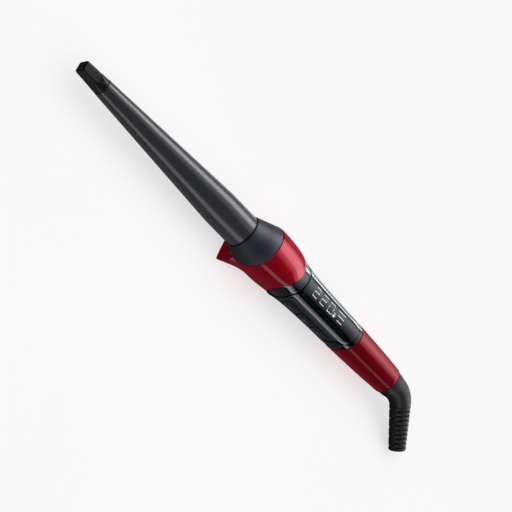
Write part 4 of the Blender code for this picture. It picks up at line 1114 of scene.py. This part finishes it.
def make_elbow(looks):
    end = ELBOW_STRAIGHT + ELBOW_BEND_RADIUS * ELBOW_BEND
    front = 9.5 * MM
    outline = [(0, front), (4 * MM, 9.3 * MM), (ELBOW_STRAIGHT, 8.8 * MM), (end, RELIEF_RADII[0])]
    rings = [tail_ring(d, front - depth) for d, depth in quarter_round(0.6 * MM, 5)]
    rings += [tail_ring(s, smooth_through(outline, s)) for s in evenly(0.8 * MM, end - 0.3 * MM, 40)]
    edge = reversed(quarter_round(0.15 * MM))
    rings += [tail_ring(end - d, RELIEF_RADII[0] - depth) for d, depth in edge]
    socket, spindle = 6.0 * MM, 4.8 * MM
    inner = [(end, CORD_BORE), (end - 4 * MM, CORD_BORE), (ELBOW_STRAIGHT + 2 * MM, CORD_BORE)]
    inner += [(socket, CORD_BORE), (socket, spindle), (0, spindle)]
    rings += [tail_ring(s, radius) for s, radius in inner]
    tail_piece("elbow", rings, looks, "swivel_elbow")


def slot_share(a, rib):
    """1 inside a slot of the groove behind that rib, 0 on the bridges between slots."""
    slots = [(SLOT_MIDDLE, 78)] if rib % 2 else [(SLOT_MIDDLE, 68), (SLOT_MIDDLE + 180, 62)]
    inside = 0.0
    for middle, half in slots:
        off = abs((math.degrees(a) - middle + 180) % 360 - 180)
        inside = max(inside, 1 - fade(off, half - 6, half + 6))
    return inside


def make_strain_relief(looks):
    """The ribbed tail: each groove is a slot on one side, and every second one has a slot opposite too."""
    base = ELBOW_STRAIGHT + ELBOW_BEND_RADIUS * ELBOW_BEND + GAP
    pitch = RELIEF_LENGTH / RIBS
    groove, bridge_depth, slot_depth = 1.25 * MM, 0.08 * MM, 1.8 * MM
    edge = quarter_round(0.3 * MM)
    rings = [tail_ring(base, CORD_BORE)]
    for rib in range(RIBS):
        start = base + rib * pitch
        stop = start + pitch - groove
        radius = RELIEF_RADII[0] + (RELIEF_RADII[1] - RELIEF_RADII[0]) * rib / (RIBS - 1)
        first_share = 0.3 if rib == 0 else 1
        rings += [tail_ring(start + d, radius - dip * first_share) for d, dip in edge]
        rings.append(tail_ring((start + stop) / 2, radius))
        rings += [tail_ring(stop - d, radius - dip) for d, dip in reversed(edge)]
        if rib < RIBS - 1:

            def cut_radius(a, rib=rib, radius=radius):
                return radius - bridge_depth - slot_depth * slot_share(a, rib)

            rings += [tail_ring(stop, cut_radius), tail_ring(start + pitch, cut_radius)]
    rings.append(tail_ring(base + RELIEF_LENGTH - groove, CORD_BORE))
    tail_piece("ribbed_tail", rings, looks, "strain_relief")


# ---- pieces inside


def dress_inner_pieces():
    """Gives every node of the frame that is still shown its own procedural material."""
    slots = {entry["node"]: entry["material_slot"] for entry in frame["record"]["subparts"]}
    made = {name: plain_inner(name, *values) for name, values in INNER_LOOKS.items()}
    for node, thing in frame["nodes"].items():
        if thing.hide_render or slots[node] not in made:
            continue
        thing.data.materials.clear()
        thing.data.materials.append(made[slots[node]])


# ---- studio


def mirror_direction(angle):
    """Where a bar along X mirrors the camera's line of sight to, at that angle round it."""
    normal = Vector((0, -math.sin(angle), math.cos(angle)))
    return 2 * normal.dot(TO_CAMERA) * normal - TO_CAMERA


def soft_box(name, size, radiance, place, lit, tint=(1, 1, 1)):
    """A rectangular light of that size and radiance, that reaches only the lit pieces."""
    data = bpy.data.lights.new(name, "AREA")
    data.shape = "RECTANGLE"
    data.size, data.size_y = size
    data.energy = radiance * math.pi * size[0] * size[1]
    data.color = tint
    made = new_object(name, data)
    made.matrix_world = place
    receivers = bpy.data.collections.new(f"{name}_receivers")
    for thing in lit:
        receivers.objects.link(thing)
    made.light_linking.receiver_collection = receivers
    return made


def strip_light(name, angles, radiance, lit, distance, tint):
    """A long soft box that pieces of the wand mirror between two angles round it, in degrees."""
    first, second = (mirror_direction(math.radians(a)) for a in angles)
    back = (first + second).normalized()
    width = 2 * distance * math.tan(first.angle(second) / 2)
    side = (Vector((1, 0, 0)) - back * back.x).normalized()
    place = Matrix.Translation(AXIS_START + back * distance)
    place = place @ Matrix((side, back.cross(side), back)).transposed().to_4x4()
    soft_box(name, (STRIP_LENGTH, width), radiance, place, lit, tint)


def facing(direction, distance):
    """The placing of a light that far out in a direction, looking back at the wand."""
    turn = direction.normalized().to_track_quat("Z", "Y").to_matrix().to_4x4()
    return turn @ Matrix.Translation((0, 0, distance))


def make_lights(groups):
    """Lights each group of pieces with its own strips, and the floor with a wide box overhead."""
    for group, strips in LIGHTS.items():
        tint = TINTS.get(group, (1, 1, 1))
        for number, (first, last, radiance) in enumerate(strips):
            name, distance = f"{group}_strip_{number}", 1.0 + 0.01 * number
            strip_light(name, (first, last), radiance, groups[group], distance, tint)
    side = Matrix.Rotation(math.radians(-65), 4, "Y") @ Matrix.Translation((0, 0, 1.5))
    soft_box("end_fill", (1.2, 1.2), 0.8, side, groups["bell"])
    soft_box("tail_fill", (1.2, 1.2), 0.9, facing(TO_CAMERA + CAMERA_RIGHT, 1.5), groups["tail"])
    soft_box("tip_rim", (0.35, 1.2), 2.0, facing(TIP_RIM_SIDE, 1.2), groups["barrel"])
    overhead, wide = Matrix.Translation((0, 0, 2.5)), (6.0, 6.0)
    soft_box("overhead", wide, 0.05, overhead, groups["floor"])
    even = soft_box("even_overhead", wide, 1.6, overhead, groups["floor"])
    even.light_linking.blocker_collection = even.light_linking.receiver_collection


def make_floor():
    mesh = bmesh.new()
    bmesh.ops.create_grid(mesh, x_segments=2, y_segments=2, size=FLOOR_SIZE)
    made = mesh_object("floor", mesh)
    look = Look("pale_floor", (0.88, 0.88, 0.88), 0.9, Specular_IOR_Level=0.0)
    look.colours(look.noise(3, 3), (0.875, 0.875, 0.875), (0.885, 0.885, 0.885))
    made.data.materials.append(look.material)
    made.visible_glossy = False
    made.visible_shadow = False
    return made


def make_camera():
    data = bpy.data.cameras.new("view")
    data.lens = CAMERA_LENS
    data.clip_end = 20
    made = new_object("view", data)
    right, up, back = CAMERA_RIGHT.normalized(), CAMERA_UP.normalized(), TO_CAMERA.normalized()
    aim = AXIS_START + right * CAMERA_AIM[0] + up * CAMERA_AIM[1]
    place = Matrix.Translation(aim + back * CAMERA_DISTANCE)
    made.matrix_world = place @ Matrix((right, up, back)).transposed().to_4x4()
    bpy.context.scene.camera = made


def make_world():
    world = bpy.data.worlds.new("studio")
    world.use_nodes = True
    world.node_tree.nodes["Background"].inputs["Color"].default_value = (1, 1, 1, 1)
    world.node_tree.nodes["Background"].inputs["Strength"].default_value = 0.02
    bpy.context.scene.world = world
    bpy.context.scene.view_settings.view_transform = "Standard"


# ---- the scene


def light_groups(floor):
    """The pieces that share a set of lights. Whatever isn't named is lit like the gloss black parts."""
    named = {
        "barrel": ["barrel_tube", "tip_cap", "seal_ring"],
        "collar": ["collar_cone"],
        "bell": ["bell"],
        "sleeve": ["sleeve"],
        "tail": ["elbow", "ribbed_tail"],
    }
    groups = {group: [bpy.data.objects[name] for name in names] for group, names in named.items()}
    taken = [thing for things in groups.values() for thing in things] + [floor]
    shown = [thing for thing in bpy.context.scene.objects if not thing.hide_render]
    groups["gloss"] = [thing for thing in shown if thing.type == "MESH" and thing not in taken]
    groups["floor"] = [floor]
    return groups


MAKERS = (
    make_barrel, make_tip, make_seal, make_collar, make_bell, make_trim_rings, make_shells,
    make_window, make_panels, make_keys, make_display_marks, make_key_marks,
    make_sleeve, make_elbow, make_strain_relief,
)


def main():
    looks = make_looks()
    make_camera()
    make_world()
    floor = make_floor()
    for make in MAKERS:
        make(looks)
    dress_inner_pieces()
    make_lights(light_groups(floor))


main()
